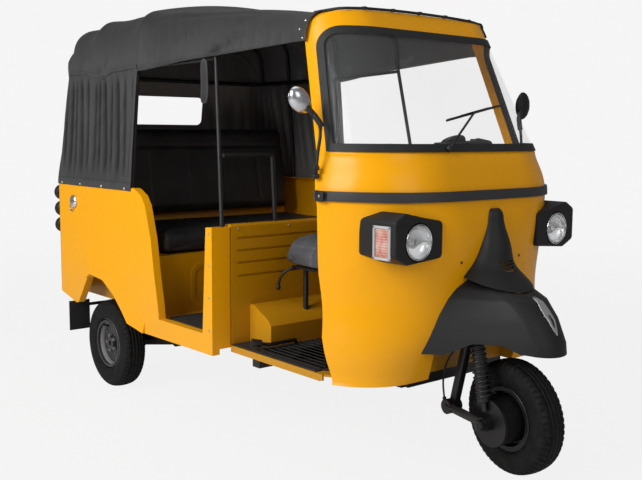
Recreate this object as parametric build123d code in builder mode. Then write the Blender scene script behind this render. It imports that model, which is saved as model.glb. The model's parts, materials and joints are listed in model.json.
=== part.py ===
"""Auto rickshaw: a three-wheeled, open-sided passenger vehicle.

Millimetres.  +X is the vehicle's left, +Y its rear, +Z up.  The origin lies on
the floor, at the middle of the overall length.  Lengthwise stations are written
as distances behind the front axle and placed by at().  The steering group is
built straight ahead and then turned about the raked steering axis to its rest.
"""
from build123d import *
from collections import namedtuple
from math import acos, atan2, cos, degrees, hypot, radians, sin, sqrt, tan
import os

os.makedirs("parts", exist_ok=True)

# ---------------------------------------------------------------- driving sizes
overall_length = 2692.6
front_overhang = 206.6          # from the front axle to the foremost point
wheelbase = 1920
rear_track = 1140
touch = 0.3                   # gap between pieces that bear on each other

tyre_od = 415
tyre_width = 107
rim_od = 235
rim_half = 47                 # wheel plane to the rim's edge
axle_r = 12

steering_rake = 18            # degrees back from the vertical
steering_trail = 94           # the axis meets the floor this far ahead of the axle
rest_turn = -9                # degrees about the axis, minus is to the right
column_r = 14

body_half = 632               # outer face of the rear side panels
skin = 5
cab_wall = 6
sill_bottom = 335
sill_top = 410
cab_floor_top = 362
rear_floor_top = 400
floor_t = 8
mat_t = 6

bulkhead_st = 988             # front face, behind the front axle
bulkhead_depth = 43
bulkhead_top = 848
bulkhead_half = 540           # half width of the ribbed panel between its posts
side_top = 962
rear_face_st = 2425
rear_corner_r = 50
seat_front_st = 1502
deck_top = 668
cushion_t = 112

belt_z = 995
belt_height = 34
screen_z = 1140               # foot of the windscreen
header_z = 1645               # top edge of the cab header
gasket_w = 28

canopy_t = 8
curtain_t = 5
hoop_r = 9

front_axle_y = front_overhang - overall_length / 2
tyre_r = tyre_od / 2


def at(station):
    """Y of a station measured back from the front axle."""
    return front_axle_y + station


rear_axle_y = at(wheelbase)
rake = radians(steering_rake)


def axis_st(z):
    """Station of the steering axis at a height."""
    return z * tan(rake) - steering_trail


steering_axis = Axis((0, at(axis_st(0)), 0), (0, sin(rake), cos(rake)))


# ------------------------------------------------------------------ small helpers
def mirrored(shape):
    """The same piece on the other side of the middle plane."""
    return mirror(shape, about=Plane.YZ)


def side_prism(points, half_width, corner=0):
    """Prism across the vehicle from a side view outline of (station, z) points."""
    with BuildPart() as prism:
        with BuildSketch(Plane.YZ):
            with BuildLine():
                Polyline([(at(s), z) for s, z in points], close=True)
            outline = make_face()
            if corner:
                fillet(outline.vertices(), corner)
        extrude(amount=half_width, both=True)
    return prism.part


def front_prism(points, st_from, st_to, corner=0):
    """Prism along the vehicle from a front view outline of (x, z) points."""
    with BuildPart() as prism:
        with BuildSketch(Plane.XZ.offset(-at(st_to))):
            with BuildLine():
                Polyline(points, close=True)
            outline = make_face()
            if corner:
                fillet(outline.vertices(), corner)
        extrude(amount=st_to - st_from)
    return prism.part


def block(x0, x1, st0, st1, z0, z1, corner=0):
    """Box between two x, two stations and two heights, its upright edges rounded."""
    with BuildPart() as box:
        with BuildSketch(Plane.XY.offset(z0)):
            with Locations(((x0 + x1) / 2, at((st0 + st1) / 2))):
                Rectangle(x1 - x0, st1 - st0)
        extrude(amount=z1 - z0)
        if corner:
            fillet(box.edges().filter_by(Axis.Z), corner)
    return box.part


def rod(points, radius, bend=0):
    """Round bar or tube through (x, station, z) points."""
    spots = [(x, at(s), z) for x, s, z in points]
    with BuildPart() as bar:
        with BuildLine() as path:
            if bend:
                FilletPolyline(*spots, radius=bend)
            else:
                Polyline(*spots)
        with BuildSketch(Plane(origin=path.line @ 0, z_dir=path.line % 0)):
            Circle(radius)
        sweep(transition=Transition.ROUND)
    return bar.part


def beam(start, end, width, depth):
    """Straight rectangular bar between two (x, station, z) points."""
    p = Vector(start[0], at(start[1]), start[2])
    q = Vector(end[0], at(end[1]), end[2])
    with BuildPart() as bar:
        with BuildSketch(Plane(origin=p, x_dir=(1, 0, 0) if abs(q.X - p.X) < 1 else
                               Vector(0, 1, 0).cross(q - p), z_dir=q - p)):
            RectangleRounded(width, depth, min(width, depth) * 0.25)
        extrude(amount=(q - p).length)
    return bar.part


def drum(x0, x1, st, z, radius, bore=0):
    """Cylinder along X between two x positions."""
    with BuildPart() as disc:
        with BuildSketch(Plane.YZ.offset(x0)):
            with Locations((at(st), z)):
                Circle(radius)
                if bore:
                    Circle(bore, mode=Mode.SUBTRACT)
        extrude(amount=x1 - x0)
    return disc.part


# ------------------------------------------------------------- nose and cab shell
# Plan sections of the cab: a flat front of half width `flat` at station `front`,
# rounded back to the doorway with radius `round`.
Plan = namedtuple("Plan", "z front flat round")
nose_plans = [
    Plan(sill_bottom + 5, 200, 320, 245),
    Plan(420, 178, 275, 292),
    Plan(500, 158, 220, 350),
    Plan(650, 138, 140, 435),
    Plan(780, 120, 130, 450),
    Plan(900, 110, 140, 435),
    Plan(1000, 128, 190, 375),
    Plan(1075, 152, 200, 345),
    Plan(screen_z, 184, 215, 312),
]
screen_plans = [
    Plan(screen_z, 184, 215, 312),
    Plan(header_z + 25, 499, 268, 184),
]
cab_back_st = 900             # the lofts run back to here before they are cut

# Side view of the doorway's front edge: station of the cab's rear edge by height.
door_edge = [(sill_bottom - 20, 352), (500, 409), (720, 430), (960, 434),
             (screen_z, 479), (1720, 679)]


def plan_loft(plans, grow):
    """Solid through the plan sections, with its skin moved out by grow."""
    with BuildPart() as body:
        for p in plans:
            centre = at(p.front + p.round)
            r = p.round + grow
            k = r * sqrt(0.5)
            back = at(cab_back_st)
            with BuildSketch(Plane.XY.offset(p.z)):
                with BuildLine():
                    Line((-p.flat, centre - r), (p.flat, centre - r))
                    ThreePointArc((p.flat, centre - r), (p.flat + k, centre - k), (p.flat + r, centre))
                    Polyline((p.flat + r, centre), (p.flat + r, back), (-p.flat - r, back),
                             (-p.flat - r, centre))
                    ThreePointArc((-p.flat - r, centre), (-p.flat - k, centre - k), (-p.flat, centre - r))
                make_face()
        loft()
    return body.part


def behind_door_edge(shift):
    """Everything behind the doorway's front edge, moved back by shift."""
    front = [(s + shift, z) for z, s in door_edge]
    return side_prism(front + [(cab_back_st + 60, door_edge[-1][0]),
                               (cab_back_st + 60, door_edge[0][0])], 800)


nose_outer = plan_loft(nose_plans, 0)
nose_clear = plan_loft(nose_plans, touch)
nose_inner = plan_loft(nose_plans, -cab_wall)
doorway_front = behind_door_edge(0)

# Recess in the foot of the nose for the front wheel, fork and head tube
well = [(-236, sill_bottom - 40), (-236, 468), (-200, 520), (-190, 640), (-62, 706), (-62, 800),
        (62, 800), (62, 706), (190, 640), (200, 520), (236, 468), (236, sill_bottom - 40)]
well_back_st = 262
well_wall = 4

with BuildPart() as front_panel:
    add(nose_outer)
    add(nose_inner, mode=Mode.SUBTRACT)
    add(doorway_front, mode=Mode.SUBTRACT)
    add(front_prism(well, 0, 350), mode=Mode.SUBTRACT)

head_tube_r = 24
head_tube_foot = 648
head_tube_top = 958


def along_axis(z0, z1, radius):
    """Cylinder on the steering axis between two heights."""
    return rod([(0, axis_st(z0), z0), (0, axis_st(z1), z1)], radius)


with BuildPart() as wheel_well:
    with BuildSketch(Plane.XZ.offset(-at(well_back_st + well_wall))):
        with BuildLine():
            Polyline(well, close=True)
        make_face()
        offset(amount=well_wall, kind=Kind.INTERSECTION)
    extrude(amount=250)
    add(front_prism(well, 0, well_back_st), mode=Mode.SUBTRACT)
    add(nose_inner, mode=Mode.INTERSECT)
    add(block(-300, 300, 0, 400, 200, sill_bottom + 5), mode=Mode.SUBTRACT)
    add(along_axis(head_tube_foot, head_tube_top, head_tube_r))   # the head tube is welded into it
    add(block(-70, 70, 60, 245, 900, 906) & nose_inner)
    add(along_axis(head_tube_foot - 60, head_tube_top + 60, column_r + touch), mode=Mode.SUBTRACT)

# Windscreen frame: pillars and header in one pressing, with a rounded roof edge
header_corner_r = 92
header_half = 468
header_crown = 10
header_lean = 90              # the pillars stand this much wider at the foot


def header_arch(inset):
    """Front view prism that rounds the header's top corners."""
    half = header_half - inset
    top = header_z - inset
    r = header_corner_r - inset
    k = r * (1 - sqrt(0.5))
    foot = half + header_lean
    with BuildPart() as arch:
        with BuildSketch(Plane.XZ.offset(-at(cab_back_st))):
            with BuildLine():
                Polyline((-half, top - r), (-foot, screen_z), (-foot, screen_z - 9), (foot, screen_z - 9),
                         (foot, screen_z), (half, top - r))
                ThreePointArc((half, top - r), (half - k, top - k), (half - r, top))
                ThreePointArc((half - r, top), (0, top + header_crown), (-half + r, top))
                ThreePointArc((-half + r, top), (-half + k, top - k), (-half, top - r))
            make_face()
        extrude(amount=cab_back_st + 200)
    return arch.part


# Side view of the windscreen opening: the gasket's outer edge on the pillar
screen_foot_z = screen_z + 6
screen_head_z = 1588
pillar_edge = [(screen_foot_z, 430), (screen_head_z, 582)]
screen_corner_r = 62


def screen_prism(inset):
    """Prism across the cab that holds the windscreen opening, shrunk by inset."""
    (z0, s0), (z1, s1) = pillar_edge
    lean = (s1 - s0) / (z1 - z0)
    back = inset * sqrt(1 + lean * lean)
    za, zb = z0 + inset, z1 - inset
    sa, sb = s0 + lean * inset - back, s1 - lean * inset - back
    with BuildPart() as prism:
        with BuildSketch(Plane.YZ):
            with BuildLine():
                Polyline((at(-100), za), (at(sa), za), (at(sb), zb), (at(-100), zb), close=True)
            face = make_face()
            fillet(face.vertices().sort_by(Axis.Y)[-2:], screen_corner_r - inset)
        extrude(amount=700, both=True)
    return prism.part


screen_clear = plan_loft(screen_plans, -cab_wall)
gasket_hole = screen_prism(0)
glass_hole = screen_prism(gasket_w)

with BuildPart() as windscreen_frame:
    add(plan_loft(screen_plans, 0))
    add(header_arch(0), mode=Mode.INTERSECT)
    add(screen_clear & header_arch(cab_wall), mode=Mode.SUBTRACT)
    add(doorway_front, mode=Mode.SUBTRACT)
    add(gasket_hole, mode=Mode.SUBTRACT)

gasket_proud = 6
with BuildPart() as windscreen_gasket:
    add(plan_loft(screen_plans, gasket_proud))
    add(plan_loft(screen_plans, -cab_wall - 3), mode=Mode.SUBTRACT)
    add(gasket_hole, mode=Mode.INTERSECT)
    add(glass_hole, mode=Mode.SUBTRACT)

glass_t = 5
with BuildPart() as windscreen_glass:
    add(plan_loft(screen_plans, 0))
    add(plan_loft(screen_plans, -glass_t), mode=Mode.SUBTRACT)
    add(glass_hole, mode=Mode.INTERSECT)

# Rubbing strip round the nose at belt height
strip_t = 9
with BuildPart() as belt_strip:
    add(plan_loft(nose_plans, strip_t))
    add(nose_clear, mode=Mode.SUBTRACT)
    add(block(-750, 750, 0, cab_back_st, belt_z - belt_height / 2, belt_z + belt_height / 2),
        mode=Mode.INTERSECT)
    add(behind_door_edge(-2), mode=Mode.SUBTRACT)

# Parcel tray under the windscreen, on the inside of the nose
with BuildPart() as dashboard:
    add(block(-420, 420, 80, 214, 1030, 1062) & nose_inner)

# ------------------------------------------------------------------ front fender
# Fixed over the wheel: plan sections with a rounded front at `front` and sides
# that run back to the half width `wing` where its edges meet the nose.
Fender = namedtuple("Fender", "z front nose_r wing")
fender_plans = [
    Fender(440, -193, 100, 306),
    Fender(500, -186, 100, 284),
    Fender(578, -148, 108, 254),
    Fender(636, -98, 118, 224),
    Fender(670, -22, 126, 202),
    Fender(715, 92, 60, 150),
]
fender_wall = 4
wing_st = 172
wing_hollow = 9               # the sides curve in by this much
seam_front = (-30, 664)       # seam between fender and cone: ahead, (station, z)
seam_rear = (120, 705)        # and beside the nose
seam_gap = 4


def fender_loft(inset):
    """Solid fender, with its skin moved in by inset."""
    with BuildPart() as body:
        for p in fender_plans:
            r = p.nose_r - inset
            centre = p.front + p.nose_r
            wing = p.wing - inset
            reach = hypot(wing, wing_st - centre)
            turn = atan2(wing, wing_st - centre) + acos(r / reach)
            tx = r * sin(turn)
            ts = centre + r * cos(turn)
            side = hypot(wing - tx, wing_st - ts)
            mx = (tx + wing) / 2 - wing_hollow * (wing_st - ts) / side
            ms = (ts + wing_st) / 2 + wing_hollow * (wing - tx) / side
            with BuildSketch(Plane.XY.offset(p.z)):
                with BuildLine():
                    ThreePointArc((-tx, at(ts)), (0, at(centre - r)), (tx, at(ts)))
                    ThreePointArc((tx, at(ts)), (mx, at(ms)), (wing, at(wing_st)))
                    Polyline((wing, at(wing_st)), (wing, at(wing_st + 130)), (-wing, at(wing_st + 130)),
                             (-wing, at(wing_st)))
                    ThreePointArc((-wing, at(wing_st)), (-mx, at(ms)), (-tx, at(ts)))
                make_face()
        loft(ruled=True)
    return body.part


def past_seam(shift, above):
    """Everything above (or below) the seam plane moved up by shift."""
    (s0, z0), (s1, z1) = seam_front, seam_rear
    lean = (z1 - z0) / (s1 - s0)
    za = z0 + lean * (-400 - s0) + shift
    zb = z0 + lean * (500 - s0) + shift
    far = 1400 if above else 200
    return side_prism([(-400, za), (500, zb), (500, far), (-400, far)], 700)


# Lower edge of the fender in side view, arched over the fork
fender_edge = [(-400, 300), (-400, 460), (-196, 460), (-100, 468), (-48, 492), (38, 492),
               (80, 466), (118, 448), (400, 448), (400, 300)]

with BuildPart() as front_fender:
    add(fender_loft(0))
    add(Pos(0, 0, -3) * fender_loft(fender_wall), mode=Mode.SUBTRACT)
    add(past_seam(-seam_gap, True), mode=Mode.SUBTRACT)
    add(side_prism(fender_edge, 700), mode=Mode.SUBTRACT)
    add(nose_clear, mode=Mode.SUBTRACT)

# --------------------------------------------------------------------- nose cone
# Fixed moulding over the head tube: round-fronted plan sections whose crown
# stands at station `front`.
Cone = namedtuple("Cone", "z front round")
cone_plans = [
    Cone(640, -58, 170),
    Cone(669, -30, 156),
    Cone(700, 6, 148),
    Cone(728, 34, 124),
    Cone(780, 50, 83),
    Cone(850, 66, 58),
    Cone(922, 84, 38),
    Cone(946, 100, 22),
]
cone_wall = 4
slit_pitch = 11
slit_count = 4
slit_half = 34
slit_height = 4
slit_foot_z = 728


def cone_loft(inset):
    """Solid cone, with its skin moved in by inset."""
    with BuildPart() as body:
        for p in cone_plans:
            r = p.round - inset
            centre = at(p.front + p.round)
            with BuildSketch(Plane.XY.offset(p.z)):
                with BuildLine():
                    ThreePointArc((-r, centre), (0, centre - r), (r, centre))
                    Polyline((r, centre), (r, at(260)), (-r, at(260)), (-r, centre))
                make_face()
        loft()
    return body.part


with BuildPart() as nose_cone:
    add(cone_loft(0))
    add(cone_loft(cone_wall) & block(-300, 300, -300, 300, 600, 930), mode=Mode.SUBTRACT)
    add(past_seam(0, False), mode=Mode.SUBTRACT)
    add(nose_clear, mode=Mode.SUBTRACT)
    with BuildSketch(Plane.XZ.offset(-at(100))):
        with Locations((0, slit_foot_z + slit_pitch * (slit_count - 1) / 2)):
            with GridLocations(0, slit_pitch, 1, slit_count):
                Rectangle(2 * slit_half, slit_height)
    extrude(amount=300, mode=Mode.SUBTRACT)

# --------------------------------------------------------------- front lamp units
lamp_z = 849
lamp_x = 381
lamp_face_st = 118
lens_r = 60
unit_out_x = 492              # outboard wall of the housing
indicator_w = 78
indicator_h = 116
unit_outline = [(-262, 788), (-262, 914), (-351, 930), (-446, 950), (-unit_out_x, 924),
                (-unit_out_x, 802), (-432, 774)]

with BuildPart() as unit_right:
    add(front_prism(unit_outline, lamp_face_st, 420, 18))
    fillet(unit_right.faces().sort_by(Axis.Y)[0].edges(), 10)
    add(nose_clear, mode=Mode.SUBTRACT)
    add(front_prism([(-600, 700), (-600, 1000), (-200, 1000), (-200, 700)], 292, 430), mode=Mode.SUBTRACT)
    with BuildSketch(Plane.XZ.offset(-at(lamp_face_st + 30))):
        with Locations((-lamp_x, lamp_z)):
            Circle(lens_r + 6)
    extrude(amount=60, mode=Mode.SUBTRACT)
    with BuildSketch(Plane.YZ.offset(-unit_out_x + 10)):
        with Locations((at(lamp_face_st + 26 + indicator_w / 2), lamp_z)):
            RectangleRounded(indicator_w, indicator_h, 6)
    extrude(amount=-60, mode=Mode.SUBTRACT)

with BuildPart() as headlamp_housings:
    add(unit_right.part)
    add(mirrored(unit_right.part))

with BuildPart() as lens_right:
    with BuildSketch(Plane.XZ.offset(-at(lamp_face_st + 30 - touch))):
        with Locations((-lamp_x, lamp_z)):
            Circle(lens_r + 6 - touch)
    extrude(amount=24)
    fillet(lens_right.faces().sort_by(Axis.Y)[0].edges(), 10)

with BuildPart() as headlamp_lenses:
    add(lens_right.part)
    add(mirrored(lens_right.part))

with BuildPart() as indicator_right:
    with BuildSketch(Plane.YZ.offset(-unit_out_x + 10 - touch)):
        with Locations((at(lamp_face_st + 26 + indicator_w / 2), lamp_z)):
            RectangleRounded(indicator_w - 2 * touch, indicator_h - 2 * touch, 6)
    extrude(amount=-13)

with BuildPart() as front_indicators:
    add(indicator_right.part)
    add(mirrored(indicator_right.part))

# --------------------------------------------------------------- chassis and floor
rail_x = 260
rail_w = 40
rail_h = 58
rail_front_st = 290
rail_rear_st = 2380
rail_top = cab_floor_top - floor_t
cross_members = [300, 700, 1010, 1480, 1640, 2360]
pivot_st = 1600
pivot_z = 262
arm_x = 410
flap_st = 2246

with BuildPart() as chassis_frame:
    with BuildSketch(Plane.XY.offset(rail_top - rail_h)):
        with Locations((-rail_x, at((rail_front_st + rail_rear_st) / 2)),
                       (rail_x, at((rail_front_st + rail_rear_st) / 2))):
            Rectangle(rail_w, rail_rear_st - rail_front_st)
        with Locations([(0, at(st)) for st in cross_members]):
            Rectangle(2 * rail_x, 50)
        with Locations((0, at(850)), (0, at(1250))):      # outriggers to the sills
            Rectangle(2 * 520, 46)
    extrude(amount=rail_h)
    add(drum(-arm_x - 30, arm_x + 30, pivot_st, pivot_z, 22))
    for side in (-1, 1):                                  # stays that carry the mudflaps
        add(rod([(side * (rail_x + 10), flap_st + 13, 340), (side * 646, flap_st + 13, 340)], 8))
    with BuildSketch(Plane.XY.offset(pivot_z)):
        with Locations((-rail_x, at(pivot_st)), (rail_x, at(pivot_st))):
            Rectangle(rail_w, 70)
    extrude(amount=rail_top - pivot_z - 10)

cab_floor_half = 536
lip_h = 26
floor_back_st = bulkhead_st
with BuildPart() as cab_floor:
    with BuildSketch(Plane.XY.offset(cab_floor_top - floor_t)):
        with BuildLine():
            Polyline([(-cab_floor_half, at(floor_back_st)), (cab_floor_half, at(floor_back_st)),
                      (cab_floor_half, at(420)), (470, at(300)), (236, at(300)),
                      (236, at(well_back_st + well_wall)), (-236, at(well_back_st + well_wall)),
                      (-236, at(300)), (-470, at(300)), (-cab_floor_half, at(420))], close=True)
        make_face()
    extrude(amount=floor_t)
    add(block(-cab_floor_half - 8, -cab_floor_half, 420, floor_back_st, cab_floor_top - lip_h, cab_floor_top))
    add(block(cab_floor_half, cab_floor_half + 8, 420, floor_back_st, cab_floor_top - lip_h, cab_floor_top))
    add(block(-600, 600, 200, 436, 300, 400) - nose_inner, mode=Mode.SUBTRACT)

rear_floor_half = 590
with BuildPart() as rear_floor:
    add(block(-rear_floor_half, rear_floor_half, bulkhead_st + bulkhead_depth, seat_front_st,
              rear_floor_top - floor_t, rear_floor_top))
    for x in (-rail_x, rail_x):                            # risers on the rails
        add(block(x - rail_w / 2, x + rail_w / 2, 1060, seat_front_st - 10, rail_top,
                  rear_floor_top - floor_t))

# ---------------------------------------------------------------------- bulkhead
groove_heights = [640, 693, 742, 792]
groove_h = 9
groove_depth = 6
with BuildPart() as bulkhead:
    add(block(-bulkhead_half + touch, bulkhead_half - touch, bulkhead_st, bulkhead_st + 30, rail_top,
              bulkhead_top - 6))
    add(block(-bulkhead_half + touch, bulkhead_half - touch, bulkhead_st, bulkhead_st + bulkhead_depth,
              bulkhead_top - 40, bulkhead_top))
    add(block(-bulkhead_half + touch, bulkhead_half - touch, bulkhead_st + 29, bulkhead_st + bulkhead_depth,
              rail_top, rear_floor_top))
    fillet(bulkhead.edges().filter_by(Axis.X).group_by(Axis.Z)[-1], 12)
    for z in groove_heights:
        add(block(-510, 510, bulkhead_st - 5, bulkhead_st + groove_depth, z - groove_h / 2, z + groove_h / 2),
            mode=Mode.SUBTRACT)

# Tool box against the bulkhead, behind the driver's feet
box_half = 450
box_st = 846
with BuildPart() as seat_box:
    add(side_prism([(box_st, cab_floor_top), (bulkhead_st, cab_floor_top), (bulkhead_st, 519), (960, 519),
                    (866, 473), (box_st, 450)], box_half))
    fillet(seat_box.edges().filter_by(Axis.Y), 6)

with BuildPart() as floor_pans:
    add(cab_floor.part)
    add(rear_floor.part)
    add(seat_box.part)

# Driver's seat: tubular stand and cushion

seat_half = 318
seat_st = (600, 925)
seat_under = 672
stand_x = 230
stand_r = 11
with BuildPart() as seat_stand:
    add(block(-seat_half + 25, seat_half - 25, seat_st[0] + 20, seat_st[1] - 10, seat_under - 10,
              seat_under - touch))
    for x in (-stand_x, stand_x):
        add(rod([(x, 650, cab_floor_top), (x, 650, seat_under - 9)], stand_r))
        add(rod([(x, 900, 480), (x, 900, seat_under - 9)], stand_r) - seat_box.part)
    for x in (-stand_x, stand_x):
        add(block(x - 26, x + 26, 624, 676, cab_floor_top + mat_t + touch, cab_floor_top + mat_t + 6))
    add(seat_box.part, mode=Mode.SUBTRACT)

with BuildPart() as driver_cushion:
    add(side_prism([(seat_st[0], seat_under), (seat_st[1], seat_under), (seat_st[1] - 8, 790),
                    (700, 802), (seat_st[0] + 18, 770)], seat_half, 22))
    fillet(driver_cushion.faces().sort_by(Axis.X)[0].edges(), 18)
    fillet(driver_cushion.faces().sort_by(Axis.X)[-1].edges(), 18)

# Mats are cut where the stand's feet pass
with BuildPart() as floor_mats:
    add(block(-cab_floor_half + 30, cab_floor_half - 30, 440, 835, cab_floor_top, cab_floor_top + mat_t, 30))
    for x in (-stand_x, stand_x):
        add(rod([(x, 650, cab_floor_top - 5), (x, 650, cab_floor_top + 30)], stand_r + touch),
            mode=Mode.SUBTRACT)
    add(block(-rear_floor_half + 24, rear_floor_half - 24, 1075, 1440, rear_floor_top,
              rear_floor_top + mat_t, 30))

# ------------------------------------------------------------------- side panels
# Side view outline, clockwise from the foot of the front post
side_outline = [
    (bulkhead_st, sill_bottom - 3), (bulkhead_st, 842), (1031, 838), (1059, sill_top + 1), (1404, sill_top),
    (1412, 470), (1440, 600), (1465, 750), (1490, 830), (1512, 896), (1544, 934), (1604, side_top),
    (rear_face_st - rear_corner_r, side_top), (rear_face_st - rear_corner_r, 400), (2215, 364), (2191, 370),
    (2088, 505), (2035, 528), (1906, 516), (1793, 457), (1721, 397), (1669, 348), (1529, 328),
]
return_depth = 34             # the panel's edges are turned in this far
lip_out = 13
flare_rows = [                # crease and lip of the arch flare, (station, z) each
    ((1529, 377), (1529, 330)), ((1647, 436), (1669, 350)), ((1714, 549), (1721, 399)),
    ((1804, 626), (1793, 459)), ((1900, 650), (1906, 518)), ((2035, 655), (2035, 530)),
    ((2110, 652), (2088, 507)),
]

with BuildPart() as side_panel_right:
    with BuildSketch(Plane.YZ.offset(-body_half)):
        with BuildLine():
            Polyline([(at(s), z) for s, z in side_outline], close=True)
        make_face()
    extrude(amount=return_depth)
    with BuildSketch(Plane.YZ.offset(-body_half + skin)):
        with BuildLine():
            Polyline([(at(s), z) for s, z in side_outline], close=True)
        make_face()
        offset(amount=-skin, kind=Kind.INTERSECTION)
    extrude(amount=return_depth, mode=Mode.SUBTRACT)
    add(block(-body_half, -bulkhead_half, bulkhead_st, 1031, rail_top, 838, 10))
    with BuildPart(mode=Mode.PRIVATE) as flare:
        for (cs, cz), (ls, lz) in flare_rows:
            lean = Plane(origin=(-body_half, at(ls), lz), x_dir=(0, cs - ls + 0.01, cz - lz), z_dir=(
                0, -(cz - lz), cs - ls + 0.01))
            reach = hypot(cs - ls, cz - lz)
            with BuildSketch(lean):
                with BuildLine():
                    Polyline((0, -0.5), (reach, -0.5), (reach, 0), (0, lip_out), close=True)
                make_face()
        loft(ruled=True)
    add(flare.part)

with BuildPart() as side_panels:
    add(side_panel_right.part)
    add(mirrored(side_panel_right.part))

# Rear panel: wraps both corners, with the doorway to the engine
lid_half = 430
lid_z = (486, 762)
with BuildPart() as back_panel:
    with BuildSketch(Plane.XY.offset(400)):
        with Locations((0, at(rear_face_st - 300))):
            RectangleRounded(2 * body_half, 600, rear_corner_r)
        with Locations((0, at(rear_face_st - 300))):
            RectangleRounded(2 * (body_half - skin), 600 - 2 * skin, rear_corner_r - skin, mode=Mode.SUBTRACT)
        with Locations((0, at(rear_face_st - rear_corner_r - 400))):
            Rectangle(1400, 800, mode=Mode.SUBTRACT)
    extrude(amount=side_top - 400)
    add(block(-lid_half + 16, lid_half - 16, rear_face_st - 30, rear_face_st + 30,
              lid_z[0] + 16, lid_z[1] - 16), mode=Mode.SUBTRACT)

# Engine lid on its top hinge, with pressed louvres
louvre_heights = [560, 592, 624, 656]
with BuildPart() as engine_lid:
    add(block(-lid_half, lid_half, rear_face_st + touch, rear_face_st + 16, lid_z[0], lid_z[1]))
    fillet(engine_lid.faces().sort_by(Axis.Y)[-1].edges(), 8)
    for side in (-1, 1):                                  # hinge barrels
        add(drum(side * 260 - 45, side * 260 + 45, rear_face_st + 8, lid_z[1], 7))
    add(block(-lid_half + 14, lid_half - 14, rear_face_st - 10, rear_face_st + 11,
              lid_z[0] + 14, lid_z[1] - 30), mode=Mode.SUBTRACT)
    for z in louvre_heights:
        for x in (-210, 210):
            add(block(x - 150, x + 150, rear_face_st, rear_face_st + 30, z - 5, z + 5), mode=Mode.SUBTRACT)

# ------------------------------------------------------------- engine bay and seat
bay_half = 500
with BuildPart() as seat_base:
    add(block(-590, 590, seat_front_st, 2400, deck_top - 5, deck_top))          # deck
    add(block(-590, 590, seat_front_st, seat_front_st + 5, rail_top, deck_top)) # front wall
    for x in (-1, 1):
        add(block(min(x * bay_half, x * (bay_half - 5)), max(x * bay_half, x * (bay_half - 5)),
                  seat_front_st, 2400, rail_top + 30, deck_top))
    with BuildSketch(Plane.XZ.offset(-at(seat_front_st))):                      # raised arch
        with Locations((0, 520)):
            RectangleRounded(820, 210, 60)
            RectangleRounded(780, 170, 45, mode=Mode.SUBTRACT)
    extrude(amount=4)
    add(side_prism([(2050, deck_top - 2), (2056, deck_top - 2), (2150, 1196), (2144, 1196)], 560))

with BuildPart() as passenger_cushion:
    add(side_prism([(seat_front_st - 8, deck_top + touch), (2010, deck_top + touch),
                    (2030, deck_top + cushion_t), (seat_front_st + 8, deck_top + cushion_t)], 556, 26))
    fillet(passenger_cushion.faces().sort_by(Axis.X)[0].edges(), 20)
    fillet(passenger_cushion.faces().sort_by(Axis.X)[-1].edges(), 20)

with BuildPart() as passenger_backrest:
    add(side_prism([(1960, deck_top + cushion_t + 4), (2071, deck_top + cushion_t + 4), (2152, 1236),
                    (2056, 1250)], 552, 26))
    fillet(passenger_backrest.faces().sort_by(Axis.X)[0].edges(), 20)
    fillet(passenger_backrest.faces().sort_by(Axis.X)[-1].edges(), 20)
    add(side_prism([(2050 - touch, deck_top - 2), (2056 + touch, deck_top - 2), (2150 + touch, 1196 + touch),
                    (2144 - touch, 1196 + touch)], 560 + touch), mode=Mode.SUBTRACT)

# Engine: one plain mass between the rails
with BuildPart() as engine:
    add(block(-rail_x + rail_w / 2, rail_x - rail_w / 2, 1960, 2320, 190, 560, 30))

# Trailing arms with their stub axles and dampers
stub_in = 505
damper_r = 24
with BuildPart() as arm_right:
    add(beam((-arm_x, pivot_st + 10, pivot_z - 4), (-arm_x - 50, wheelbase, tyre_r), 50, 44))
    add(drum(-arm_x - 28, -arm_x + 28, pivot_st, pivot_z, 36))
    add(drum(-stub_in + 24, -arm_x - 20, wheelbase, tyre_r, 42))
    add(drum(-rear_track / 2 - 24, -arm_x - 24, wheelbase, tyre_r, axle_r))
    add(rod([(-arm_x - 40, 1860, 230), (-arm_x - 40, 1846, 400)], damper_r))
    add(rod([(-arm_x - 40, 1846, 398), (-arm_x - 40, 1824, deck_top - 5 - touch)], 14))
    add(drum(-arm_x - 40, -arm_x + 40, pivot_st, pivot_z, 22 + touch), mode=Mode.SUBTRACT)
    add(seat_base.part, mode=Mode.SUBTRACT)

with BuildPart() as rear_suspension:
    add(arm_right.part)
    add(mirrored(arm_right.part))

# ------------------------------------------------------------------------ canopy
# Cross sections: a side rising from the eave and leaning in, a corner, a crown arc
Hoop = namedtuple("Hoop", "st eave eave_z lean top crown_r corner_r")
header_skin = touch + canopy_t
canopy_rows = [
    Hoop(600, header_half + 13, header_z - 108, 0.02, header_z + header_crown + header_skin, 7080, 98),
    Hoop(664, header_half + 13, header_z - 108, 0.02, header_z + header_crown + header_skin, 7080, 98),
    Hoop(1134, 530, 1512, 0.10, 1730, 2700, 100),
    Hoop(1640, 594, 1490, 0.10, 1800, 2120, 118),
    Hoop(2050, 594, 1490, 0.10, 1788, 2150, 120),
    Hoop(2300, 590, 1490, 0.11, 1762, 2200, 120),
    Hoop(2375, 586.5, 1490, 0.13, 1722, 2300, 118),
]
window_half = 220
window_z = (1250, 1400)


def row_at(st):
    """Cross section of the canopy at any station."""
    st = min(max(st, canopy_rows[0].st), canopy_rows[-1].st)
    for a, b in zip(canopy_rows, canopy_rows[1:]):
        if a.st <= st <= b.st:
            t = (st - a.st) / (b.st - a.st)
            return Hoop(*[u + (v - u) * t for u, v in zip(a, b)])


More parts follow.
